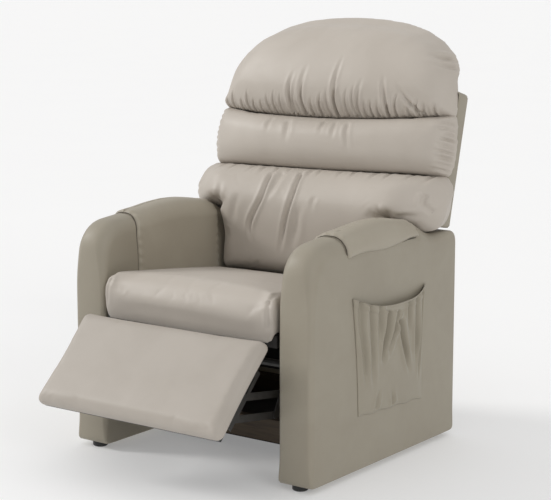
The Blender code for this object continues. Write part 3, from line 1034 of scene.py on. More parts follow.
    def cap(self, sign: int) -> Piece:
        """One cap: a pad whose section goes up the arm's inner side, over two quarter arcs and down.

        It stands proud by cap_proud times the rounded distance from its borders, so they curl into the seam.

        Args:
            sign: 1 for the left arm and -1 for the right one.

        Returns:
            The object.
        """
        v, q = unit_grid(84, 110)
        r, half, middle = self.crown_radius, self.half, self.middle
        front_lean = 0.010 * ease(0.35, 1.0, q) - 0.006 * bell(q, 0.5, 0.12)
        y = self.cap_front + front_lean + (self.cap_rear - self.cap_front - front_lean) * v + self.shift
        top = self.crown_height(y)
        outer_low = self.cap_outer_low - 0.006 + 0.012 * v + 0.004 * np.sin(9 * v)
        inner_run, outer_run = top - r - self.cap_inner_low, top - r - outer_low
        bend, flat = math.pi / 2 * r, 2 * (half - r)
        total = inner_run + bend + flat + bend + outer_run
        s = q * total
        a1 = np.clip((s - inner_run) / bend, 0, 1) * math.pi / 2
        across = np.clip(s - inner_run - bend, 0, flat)
        a2 = np.clip((s - inner_run - bend - flat) / bend, 0, 1) * math.pi / 2
        down = np.clip(s - inner_run - 2 * bend - flat, 0, None)
        on_left = s < inner_run + bend + flat / 2
        x = np.where(on_left, middle - half + r - r * np.cos(a1) + across, middle + half - r + r * np.sin(a2))
        rise = self.cap_inner_low + np.minimum(s, inner_run) + r * np.sin(a1)
        z = np.where(on_left, rise, top - r + r * np.cos(a2) - down)
        nx = np.where(on_left, -np.cos(a1), np.sin(a2))
        nz = np.where(on_left, np.sin(a1), np.cos(a2))
        edge = np.minimum.reduce([s, total - s, (y - y[:1]), (y[-1:] - y)])
        proud = -self.cap_dip + (self.cap_proud + self.cap_dip) * rounding(edge / 0.011, 2.2)
        ends = np.minimum(y - y[:1], y[-1:] - y)
        proud += 0.0011 * np.sin(s * 260 + 3 * np.sin(v * 9)) * bell(ends, 0.004, 0.012)
        proud += 0.0016 * np.sin(v * 7 + q * 5) * ease(0, 0.05, edge)

        def off(reach: Array | float) -> Array:
            """The section moved out along its normal."""
            return np.stack([x + nx * reach, y, z + nz * reach], -1)

        top, under, border = off(proud), off(-self.cap_dip - 0.0025), off(0.0002)
        # A dark cord runs along the cap's front and outer lower borders: seam thread, and painted shadow for
        # the dark line under the cap's edge.
        line = np.vstack([border[0, 2:-1] - (0, 0.0012, 0), border[1:-4, -1] - (0, 0, 0.0010)])
        for grid in (top, under, line):
            grid[..., 0] *= sign
        self.seams[sign] = line
        return sheet_shell(f"arm_cap_leather_{'L' if sign > 0 else 'R'}", top, under)

    def pocket(self) -> Piece:
        """The gathered pocket: a grid between a sagging top line and the sewn bottom, wavy across.

        It stands off the arm by a sagging belly plus upright pleats that die out towards the sewn edges.

        Returns:
            The object.
        """
        v, u = unit_grid(130, 150)
        top = np.stack([np.interp(u, [0, 1], [-0.169, 0.167]),
                        through(u, [(0, 0.453), (0.15, 0.434), (0.38, 0.418), (0.62, 0.415), (0.85, 0.421),
                                    (1, 0.440)])], -1)
        low = np.stack([-0.140 + 0.298 * u + 0.002 * np.sin(u * 30),
                        0.154 - 0.014 * u + 0.002 * np.sin(u * 24)], -1)
        yz = low + (top - low) * v[..., None]
        yz[..., 0] += 0.010 * np.sin(math.pi * v) * (0.5 - u) + self.shift
        sewn = np.minimum.reduce([u * 0.3, (1 - u) * 0.3, v * 0.28])
        off = rounding(sewn / 0.026, 2.0)
        belly = self.pocket_belly * off * (0.30 + 0.70 * v) * np.sin(math.pi * np.clip(u, 0.02, 0.98)) ** 0.5
        places = np.stack([u, v], -1).reshape(-1, 2)
        pleats = sum(Crease(*row).press(places) for row in (
            (((0.075, 1.0), (0.060, 0.80), (0.085, 0.50), (0.110, 0.20)), 0.0119, 0.0232, 0.02, 0.4),
            (((0.180, 1.0), (0.190, 0.75), (0.200, 0.45), (0.215, 0.15)), 0.0085, 0.0213, 0.02, 0.5),
            (((0.300, 1.0), (0.290, 0.80), (0.300, 0.60)), 0.0080, 0.0213, 0.02, 0.7),
            (((0.420, 0.95), (0.380, 0.75), (0.345, 0.55), (0.350, 0.42)), 0.0147, 0.0251, 0.02, 0.45),
            (((0.560, 0.94), (0.500, 0.80), (0.430, 0.62), (0.370, 0.48)), 0.0113, 0.0232, 0.10, 0.5),
            (((0.560, 0.86), (0.620, 0.66), (0.700, 0.45), (0.800, 0.24)), 0.0136, 0.0251, 0.10, 0.5),
            (((0.700, 0.98), (0.715, 0.80), (0.760, 0.62)), 0.0095, 0.0232, 0.02, 0.7),
            (((0.820, 0.98), (0.840, 0.75), (0.860, 0.50), (0.870, 0.30)), 0.0099, 0.0213, 0.02, 0.5),
            (((0.930, 0.98), (0.935, 0.70), (0.925, 0.40), (0.920, 0.15)), 0.0095, 0.0174, 0.02, 0.4),
            (((0.250, 0.02), (0.270, 0.12), (0.300, 0.24)), 0.0057, 0.0213, 0.1, 0.7),
            (((0.520, 0.02), (0.500, 0.10), (0.460, 0.22)), 0.0057, 0.0213, 0.1, 0.7),
        )).reshape(u.shape)
        hem = 0.0014 * ease(0.925, 0.935, v) - 0.0010 * bell(v, 0.93, 0.006) - 0.0009 * bell(v, 0.985, 0.005)
        base = self.outer + 0.0016 + self.side(yz[..., 0].ravel(), yz[..., 1].ravel()).reshape(u.shape)
        x = np.maximum(base + belly + pleats * off + hem, base)
        front = np.concatenate([x[..., None], yz], -1)
        return sheet_shell("side_pocket_leather", front, front - (self.pocket_thick, 0, 0))

    def build(self) -> None:
        """Makes both arms, their caps and the pocket, and hands them over."""
        f = self.finishes
        for sign, side in ((1, "L"), (-1, "R")):
            self.hand_over(self.shell(sign), "base", f.shell, "leather_shell", [f"arm_cover_{side}"], 0.9)
            self.hand_over(self.cap(sign), "base", f.cap, "leather_shell", [f"arm_cap_{side}"], 0.8)
            # The dark seam cord is thread and painted shadow under the cap's borders.
            seam = cord(f"arm_cap_seam_{side}", self.seams[sign], 0.0011, False, 6)
            self.hand_over(seam, "base", f.thread, "leather_shell")
        pocket = self.hand_over(self.pocket(), "base", f.shell, "leather_shell", ["side_pocket"])


def disc(name: str, outline: Array, centre: tuple[float, float], front: Surface, back: Surface,
         place: Surface, rings: int = 44) -> Piece:
    """A cushion drawn as two surfaces over one outline, which meet along it.

    Rings of the outline shrink towards the centre, closer together at the centre and at the rim, and each
    surface gives its third coordinate from the place and the distance to the rim.

    Args:
        name: the piece's name.
        outline: the closed rim in plane coordinates (a, b).
        centre: a point that sees the whole rim.
        front: third coordinate of the front, of (a, b, distance from the rim).
        back: the same for the back.
        place: turns plane coordinates (a, b, c) into metres in the frame.
        rings: how many rings each side has.

    Returns:
        The closed shell.
    """
    middle = np.array(centre)
    loops: dict[Surface, list[Array]] = {front: [], back: []}
    for f in np.sin(np.linspace(0, math.pi / 2, rings + 1)[:-1]):
        ring = outline + (middle - outline) * f**1.6
        gap = away(ring, outline[::3]) if f else np.zeros(len(ring))
        for face in loops:
            loops[face].append(place(*ring.T, face(*ring.T, gap)))
    at, hub = middle[:, None], away(middle[None], outline)
    poles = [place(*at, face(*at, hub))[0] for face in loops]
    return ringed(name, np.array(loops[front][::-1] + loops[back][1:]), *poles)


@dataclass
class Back(Upholstery):
    """The leaning back: cushions on a shell, drawn in (x, h up the back, d forward of its rear plane)."""

    tilt: float = math.radians(14.4)
    origin_y: float = 0.309
    origin_z: float = 0.559
    shell_depth: float = 0.0466
    shell_half: float = 0.3695
    shell_low: float = 0.0035
    levelled: float = 0.22
    shell_square: float = 0.360
    shell_top: float = 0.505
    cover_low: float = -0.185
    seam_half: float = 0.37
    mid_height: float = 0.1245
    mid_droop: float = 0.010
    head_height: float = 0.284
    head_droop: float = 0.024
    tuck: float = 0.004
    gap: float = 0.002

    def place(self, x: Array, h: Array, d: Array) -> Array:
        """Back coordinates to the frame: h runs up the leaning plane and d square to it, forwards."""
        s, c = math.sin(self.tilt), math.cos(self.tilt)
        return np.stack([x, self.origin_y + self.shift + h * s - d * c, self.origin_z + h * c + d * s], -1)

    def unplace(self, points: Array) -> Array:
        """Frame places to back coordinates (x, h, d).

        Args:
            points: an (n, 3) array in the frame.

        Returns:
            An (n, 3) array of (x, h, d).
        """
        s, c = math.sin(self.tilt), math.cos(self.tilt)
        y, z = points[:, 1] - self.origin_y - self.shift, points[:, 2] - self.origin_z
        return np.stack([points[:, 0], y * s + z * c, -y * c + z * s], -1)

    def mid_seam(self, x: Array) -> Array:
        """Height of the seam between lumbar and roll: it droops in the middle.

        Args:
            x: places across the back.

        Returns:
            The seam's height h there.
        """
        half = self.seam_half
        droop = self.mid_droop * (1 - (np.clip(np.abs(x), 0, half) / half) ** 2)
        return self.mid_height - droop + 0.008 * x / half

    def head_seam(self, x: Array) -> Array:
        """Height of the seam between roll and head: it droops in the middle.

        Args:
            x: places across the back.

        Returns:
            The seam's height h there.
        """
        half = self.seam_half - 0.005
        droop = self.head_droop * (1 - (np.clip(np.abs(x), 0, half) / half) ** 2.4)
        return self.head_height - droop + 0.007 * x / self.seam_half

    def seam_depth(self, x: Array) -> Array:
        """How far forward the seams lie: 0.10 in the middle, and back to the shell at the ends."""
        return 0.050 + 0.046 * (1 - np.clip(np.abs(x) / 0.375, 0, 1) ** 3)

    def hold(self, points: Array) -> Array:
        """Share of the swelling: none at the shell, all of it from 40 mm in front."""
        return ease(0.000, 0.040, self.unplace(points)[:, 2] - self.shell_depth)

    def head_outline(self) -> Array:
        """The head's rim: the drooping seam, then an arch through measured half widths.

        Returns:
            A (320, 2) closed line of (x, h), which runs anticlockwise.
        """
        x = np.linspace(-0.371, 0.371, 120)
        seam = np.stack([x, self.head_seam(x) - self.tuck], -1)
        half = [(0.300, 0.371), (0.335, 0.368), (0.372, 0.360), (0.42, 0.345), (0.46, 0.322), (0.495, 0.284),
                (0.525, 0.228), (0.544, 0.160)]
        right = np.array([(w, h) for h, w in half])
        crown = np.array([(0.080, 0.5535), (0.0, 0.556), (-0.080, 0.5535)])
        left = right[::-1] * (-1, 1)
        arch = np.vstack([right, crown, left])
        return anticlockwise(resample(relax(resample(np.vstack([seam, arch]), 900), 4), 320))

    def head_rim(self, x: Array, h: Array) -> Array:
        """Depth of the head's rim: the seam's below, and wrapping back over the shell above.

        Args:
            x: places across the back.
            h: heights up the back.

        Returns:
            The rim's depth d there.
        """
        over = ease(0.375, 0.44, h)
        side = 0.049 * (1 - over) + 0.014 * over
        below = ease(0.305, 0.289, h + 0.034 * (1 - (x / self.seam_half) ** 2))
        return side + (self.seam_depth(x) - side) * below

    def head_front(self, x: Array, h: Array, e: Array) -> Array:
        """The head's front: a crown that is deepest a hand above the seam, rounded off at the rim.

        Args:
            x: places across the back.
            h: heights up the back.
            e: distances from the rim.

        Returns:
            The front's depth d there.
        """
        crown = through(h, [(0.24, 0.145), (0.30, 0.158), (0.36, 0.157), (0.43, 0.137), (0.49, 0.105),
                            (0.53, 0.070), (0.56, 0.050)])
        crown = crown - 0.052 * (np.abs(x) / self.seam_half) ** 2.6
        near_seam = bell(h - self.head_seam(x), 0.0, 0.035)
        wide = 0.085 * (1 - near_seam) + 0.030 * near_seam
        rim = self.head_rim(x, h)
        return rim + (crown - rim) * rounding(e / wide, 2.0)

    def head(self) -> Piece:
        """The head pillow, with pleats that fan up from its gathered seam.

        Returns:
            The object.
        """

        def behind(x: Array, h: Array, e: Array) -> Array:
            """The back of the pillow, against the shell and over its top."""
            bowed = h + 0.12 * (x / self.seam_half) ** 4
            floor = self.shell_depth + self.gap - 0.034 * ease(0.40, 0.47, bowed)
            return np.minimum(self.head_rim(x, h), floor + (self.head_rim(x, h) - floor) * ease(0.02, 0, e))

        outline = self.head_outline()
        piece = disc("head_pillow_leather", outline, (0, 0.39), self.head_front, behind, self.place)
        Stuffing(voxel=0.0044, swell=0.012).fill(piece, self.hold)
        where = self.unplace(coords(piece))
        fold(piece, where[:, :2], self.pleats(), ease(0.02, 0.05, where[:, 2]))
        return piece

    def pleats(self) -> list[Crease]:
        """The head's gathers: 27 creases, longest a little off the middle, and ten drawn one by one.

        Returns:
            The creases, in (x, h).
        """
        random = np.random.default_rng(11)
        out = []
        for x in np.linspace(-0.335, 0.335, 27):
            x = float(x + random.uniform(-0.007, 0.007))
            long = 0.030 + 0.045 * float(bell(np.array(x), 0.02, 0.17)) * random.uniform(0.5, 1.5)
            long += 0.03 * random.uniform(0, 1) ** 3
            lean = 0.25 * x + random.uniform(-0.10, 0.06)
            h0 = float(self.head_seam(np.array(x)))
            path = ((x, h0 + 0.001), (x + lean * long * 0.4, h0 + long * 0.5),
                    (x + lean * long + 0.15 * long, h0 + long))
            deep, wide = random.uniform(0.0040, 0.0080), random.uniform(0.0028, 0.0040)
            out.append(Crease(path, deep, wide, 0.02, 0.75))
        for path, deep, wide in (
            (((0.05, 0.262), (0.047, 0.33), (0.056, 0.44)), 0.0080, 0.0050),
            (((-0.09, 0.265), (-0.10, 0.32), (-0.088, 0.385)), 0.0078, 0.0052),
            (((-0.055, 0.262), (-0.06, 0.32), (-0.05, 0.41)), 0.0060, 0.0060),
            (((0.115, 0.265), (0.12, 0.31), (0.135, 0.375)), 0.0060, 0.0050),
            (((0.205, 0.272), (0.200, 0.32), (0.190, 0.385)), 0.0080, 0.0050),
            (((0.30, 0.283), (0.262, 0.315), (0.225, 0.37)), 0.0074, 0.0052),
            (((0.352, 0.452), (0.318, 0.444), (0.275, 0.447)), 0.0110, 0.0075),
            (((0.358, 0.425), (0.33, 0.422), (0.305, 0.426)), 0.0060, 0.0060),
            (((0.335, 0.475), (0.312, 0.468), (0.285, 0.468)), 0.0028, 0.0060),
            (((-0.345, 0.452), (-0.315, 0.446), (-0.280, 0.447)), 0.0030, 0.0080),
        ):
            out.append(Crease(path, deep, wide, 0.02, 0.7))
        return out

    def roll(self) -> Piece:
        """The roll between the two seams, with short gathers at its ends.

        Returns:
            The object.
        """
        x = np.linspace(-0.376, 0.376, 140)
        top = np.stack([x, self.head_seam(x) + self.tuck], -1)
        low = np.stack([x, self.mid_seam(x) - self.tuck], -1)
        right = np.array([(0.384, 0.15), (0.388, 0.18), (0.386, 0.225), (0.381, 0.262)])
        rim = np.vstack([low, right, top[::-1], right[::-1] * (-1, 1)])
        outline = anticlockwise(resample(relax(resample(rim, 900), 3), 320))

        def front(x: Array, h: Array, e: Array) -> Array:
            """The front of the roll, fullest half way between its seams."""
            part = (h - self.mid_seam(x)) / (self.head_seam(x) - self.mid_seam(x))
            crown = 0.150 + 0.010 * np.sin(math.pi * np.clip(part, 0, 1)) - 0.060 * (np.abs(x) / 0.385) ** 3.2
            return self.seam_depth(x) + (crown - self.seam_depth(x)) * rounding(e / 0.058, 2.1)

        def behind(x: Array, h: Array, e: Array) -> Array:
            """The back of the roll, against the shell."""
            floor = self.shell_depth + self.gap
            return floor + (self.seam_depth(x) - self.shell_depth - self.gap) * ease(0.014, 0, e)

        piece = disc("mid_roll_leather", outline, (0, 0.19), front, behind, self.place)
        Stuffing(voxel=0.0055, swell=0.008).fill(piece, self.hold)
        random = np.random.default_rng(5)
        creases = [Crease(*row) for row in (
            (((-0.099, 0.245), (-0.085, 0.215), (-0.080, 0.17)), 0.0042, 0.008, 0.2, 0.6),
            (((-0.150, 0.248), (-0.155, 0.225), (-0.145, 0.20)), 0.0030, 0.007, 0.2, 0.6),
            (((0.100, 0.250), (0.108, 0.21), (0.127, 0.16)), 0.0048, 0.006, 0.2, 0.5),
            (((0.060, 0.250), (0.064, 0.22), (0.07, 0.19)), 0.0034, 0.006, 0.2, 0.6),
            (((0.02, 0.250), (0.022, 0.225), (0.03, 0.205)), 0.0026, 0.006, 0.2, 0.6),
        )]
        for side, share in ((1, 1.0), (-1, 0.35)):
            for h in np.linspace(0.142, 0.268, 9):
                h = float(h + random.uniform(-0.004, 0.004))
                reach = 0.030 + random.uniform(0, 0.030)
                path = ((side * 0.386, h), (side * (0.386 - reach * 0.5), h + 0.002),
                        (side * (0.386 - reach), h + random.uniform(-0.006, 0.006)))
                deep, wide = share * random.uniform(0.0034, 0.0056), random.uniform(0.0036, 0.0052)
                creases.append(Crease(path, deep, wide, 0.02, 0.7))
        where = self.unplace(coords(piece))
        fold(piece, where[:, :2], creases, ease(0.055, 0.075, where[:, 2]))
        return piece

    def lumbar_outline(self) -> Array:
        """The T-shaped rim of the lumbar cushion: narrow between the arms, with a rounded wing over each.

        Returns:
            A (440, 2) closed line of (x, h), which runs anticlockwise.
        """
        x = np.linspace(-0.372, 0.372, 120)
        top = np.stack([x, self.mid_seam(x) + self.tuck], -1)
        right = np.array([
            (0.262, self.cover_low), (0.270, self.cover_low + 0.02), (0.2715, -0.12), (0.2715, -0.04),
            (0.276, -0.012), (0.290, -0.014), (0.320, -0.017), (0.358, -0.018), (0.389, -0.004),
            (0.403, 0.026), (0.407, 0.058), (0.402, 0.092), (0.390, 0.118)])
        left = right[::-1] * (-1, 1)
        rim = np.vstack([top[::-1], left, right])
        return anticlockwise(resample(relax(resample(rim, 1100), 5), 440))

    def lumbar_front(self, x: Array, h: Array, e: Array) -> Array:
        """The lumbar's front: fullest just above the arms, falling back to the seam and to the seat.

        Args:
            x: places across the back.
            h: heights up the back.
            e: distances from the rim.

        Returns:
            The front's depth d there.
        """
        crown = through(h, [(-0.19, 0.134), (-0.14, 0.150), (-0.08, 0.170), (-0.02, 0.187), (0.03, 0.192),
                            (0.075, 0.180), (0.13, 0.155)])
        wing = ease(0.27, 0.40, np.abs(x))
        crown = crown - 0.050 * wing - 0.012 * (np.abs(x) / 0.27) ** 2 * ease(0.0, -0.1, h)
        low = ease(0.0, -0.03, h)
        wide = (0.046 + 0.012 * ease(0.36, 0.40, np.abs(x))) * (1 - low) + 0.020 * low
        rim = self.lumbar_rim(x, h)
        return rim + (crown - rim) * rounding(e / wide, 2.1)

    def lumbar_rim(self, x: Array, h: Array) -> Array:
        """Depth of the lumbar's rim: the seam's at the top, the shell's elsewhere, forward on the wings.

        Args:
            x: places across the back.
            h: heights up the back.

        Returns:
            The rim's depth d there.
        """
        top = ease(0.06, 0.10, h)
        other = 0.062 + 0.022 * ease(0.27, 0.36, np.abs(x)) + 0.045 * ease(0.0, -0.05, h)
        return other * (1 - top) + (self.seam_depth(x) + 0.004) * top

    def lumbar(self) -> Piece:
        """The lumbar cushion: two long slack folds run down from its seam, and its wings are pinched.

        Returns:
            The object.
        """

        def behind(x: Array, h: Array, e: Array) -> Array:
            """The back of the cushion, against the shell."""
            rim = self.lumbar_rim(x, h)
            floor = self.shell_depth + self.gap
            return floor + (rim - floor) * ease(0.016, 0, e)

        outline = self.lumbar_outline()
        piece = disc("lumbar_leather", outline, (0, 0.03), self.lumbar_front, behind, self.place, 56)
        Stuffing(voxel=0.0055, swell=0.010).fill(piece, self.hold)
        creases = [Crease(*row) for row in (
            (((-0.111, 0.102), (-0.109, 0.022), (-0.145, -0.057), (-0.140, -0.110)), 0.0072, 0.0062, 0.1,
             0.45),
            (((-0.018, 0.106), (-0.011, 0.030), (-0.027, -0.046), (-0.048, -0.135)), 0.0078, 0.0062, 0.06,
             0.4),
            (((-0.075, 0.10), (-0.080, 0.05), (-0.098, 0.00)), 0.0042, 0.009, 0.1, 0.7),
            (((0.062, 0.04), (0.060, 0.015), (0.064, -0.01)), 0.0022, 0.007, 0.3, 0.6),
            (((-0.19, 0.03), (-0.20, -0.03), (-0.215, -0.09)), 0.0036, 0.010, 0.3, 0.6),
            (((0.02, 0.02), (0.01, -0.05), (-0.012, -0.13)), 0.0042, 0.010, 0.3, 0.5),
            (((0.365, 0.078), (0.362, 0.058), (0.366, 0.038)), 0.0050, 0.0065, 0.2, 0.3),
            (((0.385, 0.030), (0.370, 0.040), (0.345, 0.046)), 0.0036, 0.006, 0.05, 0.7),
            (((0.270, -0.004), (0.282, 0.010), (0.300, 0.020)), 0.0070, 0.008, 0.02, 0.7),
            (((0.262, 0.000), (0.262, 0.018), (0.255, 0.032)), 0.0040, 0.006, 0.02, 0.7),
            (((0.300, 0.004), (0.335, 0.012), (0.370, 0.020)), 0.0048, 0.006, 0.2, 0.5),
            (((-0.270, -0.004), (-0.282, 0.010), (-0.300, 0.020)), 0.0030, 0.008, 0.02, 0.7),
            (((-0.262, 0.005), (-0.256, 0.03), (-0.262, 0.06)), 0.0034, 0.008, 0.02, 0.7),
            (((-0.385, 0.030), (-0.370, 0.040), (-0.345, 0.046)), 0.0036, 0.006, 0.05, 0.7),
        )]
        random = np.random.default_rng(3)
        for x in np.linspace(-0.30, 0.34, 14):
            x = float(x + random.uniform(-0.012, 0.012))
            h = float(self.mid_seam(np.array(x)))
            path = ((x, h - 0.002), (x + 0.002, h - 0.015), (x + random.uniform(-0.01, 0.01), h - 0.035))
            deep, wide = random.uniform(0.0018, 0.0040), random.uniform(0.0045, 0.007)
            creases.append(Crease(path, deep, wide, 0.02, 0.8))
        where = self.unplace(coords(piece))
        fold(piece, where[:, :2], creases, ease(0.065, 0.095, where[:, 2]))
        return piece

    def shell_outline(self) -> Array:
        """The shell's rim: straight sides with small corners and an arch behind the head.

        Returns:
            A (300, 2) closed line of (x, h), which runs anticlockwise.
        """
        low, half = self.shell_low, self.shell_half
        a = np.radians(np.linspace(0, 180, 60))
        inset = 0.032
        rise = self.shell_top - self.shell_square - 0.012
        arch = np.stack([(half - inset) * np.cos(a), self.shell_square + rise * np.sin(a)], -1)
        square = [(half, low), (half, self.shell_square - 0.006), (half - 0.008, self.shell_square)]
        rim = np.vstack([[(-half, low)], square, arch, np.array(square[:0:-1]) * (-1, 1)])
        return anticlockwise(resample(relax(resample(rim, 900), 8), 300))

    def tray(self, name: str, outline: Array, centre: tuple[float, float], depth: float,
             proud: float = 0.003) -> Piece:
        """A thin open tray: its section runs over the rear face, round the corner, up the side and inside.

        Each ring is the outline drawn in by an inset at a depth, in the order of the section. Insets past
        the rim shrink it towards its centre.

        Args:
            name: the piece's name.
            outline: the closed rim in (x, h).
            centre: a point that sees the whole rim.
            depth: how deep the sides are.
            proud: how far the rear face bulges out in the middle.

        Returns:
            The closed shell.
        """
        normal, middle = relax(inward(outline), 10), np.array(centre)
        wall, corner, rim, floor = 0.003, 0.010, 0.0225, 0.0085
        section = [(0.10, -proud * 0.2), (0.05, 0.0), (0.022, 0.0004), (0.0175, 0.0019), (0.016, 0.0022),
                   (0.0145, 0.0010)]
        turn = np.radians(np.linspace(0, 90, 8))
        section += [(corner * (1 - math.sin(t)), corner * (1 - math.cos(t)) + 0.0005) for t in turn]
        section += [(0.0, depth * 0.5), (-0.0006, depth * 0.8), (0.0, depth - 0.003),
                    (0.0012, depth - 0.0006), (wall, depth - 0.0012), (wall, depth * 0.5),
                    (wall, floor + 0.001), (wall + 0.002, floor), (0.05, floor)]
        level = self.levelled * math.tan(self.tilt) * ease(0.05, 0.0, outline[:, 1] - outline[:, 1].min())

        def ring_at(inset: float, deep: float) -> Array:
            """One ring of the tray, at an inset and a depth."""
            near = outline + normal * min(inset, rim)
            x, h = (near + (middle - near) * max(inset - rim, 0.0) / 0.35).T
            return self.place(x, h - level * deep, np.full(len(x), deep))

        loops = [ring_at(inset, deep) for inset, deep in section]

        def pole(deep: float) -> Array:
            """The middle point at a depth."""
            return self.place(*middle[:, None], np.array([deep]))[0]

        for f in (0.62, 0.42, 0.2):
            ring = middle + (outline + normal * rim - middle) * f
            deep = -proud * (0.2 + 0.8 * (1 - f))
            loops.insert(0, self.place(*ring.T, np.full(len(ring), deep)))
        return ringed(name, np.array(loops), pole(-proud), pole(floor))

    def build(self) -> None:
        """Makes the back's cushions, shell and piping, and hands them over."""
        f = self.finishes
        self.hand_over(self.lumbar(), "back", f.cushion, "leather", ["lumbar_pillow", "back_cushion_low"],
                       0.8)
        self.hand_over(self.roll(), "back", f.cushion, "leather", ["mid_roll"], 0.8)
        self.hand_over(self.head(), "back", f.cushion, "leather", ["head_pillow"], 0.75)
        outline = self.shell_outline()
        tray = self.tray("back_shell_leather", outline, (0, 0.22), self.shell_depth + 0.007)
        self.hand_over(tray, "back", f.shell, "leather_shell",
                       ["back_panel_upper", "head_block", "back_side_border_L", "back_side_border_R"])
        drawn = outline + inward(outline) * 0.013
        path = self.place(*drawn.T, np.full(len(drawn), 0.0004))
        self.hand_over(cord("back_shell_piping", path, 0.0022, True), "back", f.shell, "leather_shell")


@dataclass
class Seat(Upholstery):
    """The seat cushion on its glides."""

    half: float = 0.2685
    front: float = -0.343
    rear: float = 0.126
    low: float = 0.3768
    lip: float = 0.0225
    front_top: float = 0.470
    rear_top: float = 0.418
    rim: float = 0.418
    crown: float = 0.016

    def cushion(self) -> Piece:
        """The cushion: a rounded rectangle seen from above, crowned on top, with a full soft front roll.

        Returns:
            The object.
        """
        y0, y1, x1 = self.front + self.shift, self.rear + self.shift, self.half
        outline = rounded_box(x1, y0, y1)
        pull = 0.004 * np.sin(math.pi * np.clip((outline[:, 0] + x1) / (2 * x1), 0, 1))
        outline[:, 1] += np.where(outline[:, 1] < y0 + 0.01, -pull, 0)

        def top(x: Array, y: Array, e: Array) -> Array:
            """The crowned top, with its full front roll."""
            run = np.clip((y - y0) / (y1 - y0), 0, 1)
            crown = self.front_top + (self.rear_top - self.front_top) * run
            swell = np.sin(math.pi * np.clip(0.12 + run * 0.88, 0, 1)) ** 0.8
            crown = crown + self.crown * (1 - (x / x1) ** 2) * swell
            front = ease(0.12, 0.03, y - y0) * ease(x1, x1 - 0.06, np.abs(x))
            wide = 0.019 + 0.036 * front
            return self.rim + (crown - self.rim) * rounding(e / wide, 2.3)

        def under(x: Array, y: Array, e: Array) -> Array:
            """The flat underside, lower along its front lip."""
            low = self.low - self.lip * ease(0.017, 0.012, y - y0)
            return self.rim - (self.rim - low) * rounding(e / 0.012, 2.6)

        def place(x: Array, y: Array, z: Array) -> Array:
            """Points from their three coordinates."""
            return np.stack([x, y, z], -1)

        piece = disc("seat_cushion_leather", outline, (0, (y0 + y1) / 2), top, under, place, 50)

        def hold(points: Array) -> Array:
            """Share of the swelling: most on top, little at the sides and none below."""
            inside = ease(0, 0.03, x1 - np.abs(points[:, 0]))
            return ease(0.385, 0.41, points[:, 2]) * (0.15 + 0.85 * inside)

        Stuffing(voxel=0.0055, swell=0.006).fill(piece, hold)
        creases = []
        for x, strength in ((x1, 1.0), (-x1, 0.7)):
            for path, deep, wide, end in (
                (((0.93, 0.010, 0.462), (0.945, -0.002, 0.43), (0.955, 0, 0.385)), 0.0050, 0.0055, 0.3),
                (((0.94, 0.012, 0.464), (0.93, 0.05, 0.476), (0.93, 0.10, 0.474)), 0.0030, 0.006, 0.8),
                (((0.94, 0.006, 0.458), (0.88, 0.004, 0.452), (0.82, 0.003, 0.450)), 0.0030, 0.006, 0.8),
            ):
                line = tuple((x * across, y0 + y, z) for across, y, z in path)
                creases.append(Crease(line, deep * strength, wide, 0.05, end))
        line = ((-0.24, y0 - 0.002, 0.405), (-0.05, y0 - 0.004, 0.402), (0.20, y0 - 0.003, 0.404))
        creases.append(Crease(line, 0.0012, 0.012, 0.3, 0.4))
        fold(piece, coords(piece), creases)
        return piece

    def build(self) -> None:
        """Makes the seat cushion and hands it over."""
        # Its finish paints shade on the cushion's front, darker towards its lower edge.
        self.hand_over(self.cushion(), "seat", self.finishes.seat, "leather", ["seat_cushion"], 0.85)


@dataclass
class Footrest(Upholstery):
    """The footrest pad on its board, raised to 45 degrees at rest."""

    top_y: float = -0.392
    top_z: float = 0.386
    half: float = 0.291
    length: float = 0.278
    rim: float = -0.017
    rear: float = -0.035
    crown: float = 0.005

    def place(self, x: Array, s: Array, n: Array) -> Array:
        """Pad coordinates to the frame: s runs down the slope and n out of its face."""
        c = math.sqrt(0.5)
        return np.stack([x, self.top_y + self.shift - c * (s + n), self.top_z + c * (n - s)], -1)

    def pad(self) -> Piece:
        """The pad: a rounded rectangle, crowned in front and flat behind, with rolled edges.

        Returns:
            The object.
        """
        a, s0, s1 = self.half - 0.002, 0.003, self.length - 0.003
        outline = rounded_box(a, s0, s1)
        x, s = outline.T
        outline[:, 0] -= 0.003 * np.sign(x) * (np.abs(x) > a - 0.001) * np.sin(math.pi * s / s1)

        def front(x: Array, s: Array, e: Array) -> Array:
            """The crowned face."""
            crown = 0.001 + self.crown * (1 - (x / a) ** 2) * np.sin(math.pi * np.clip(s / s1, 0, 1))
            return self.rim + (crown - self.rim) * rounding(e / 0.030, 2.0)

        def back(x: Array, s: Array, e: Array) -> Array:
            """The flat back."""
            return self.rim + (self.rear - self.rim) * rounding(e / 0.014, 2.2)

        piece = disc("footrest_pad_leather", outline, (0, self.length / 2), front, back, self.place, 46)

        def hold(points: Array) -> Array:
            """Share of the swelling: all of it in front and none at the board."""
            c = math.sqrt(0.5)
            n = c * ((self.top_y + self.shift - points[:, 1]) + (points[:, 2] - self.top_z))
            return ease(-0.030, -0.016, n)

        Stuffing(voxel=0.005, swell=0.004).fill(piece, hold)
        return piece

    def build(self) -> None:
        """Makes the pad and hands it over."""
        # The seat's finish paints shade on the whole pad, 0.86 of its colour.
        self.hand_over(self.pad(), "footrest", self.finishes.seat, "leather", ["footrest_pad"], 0.9)


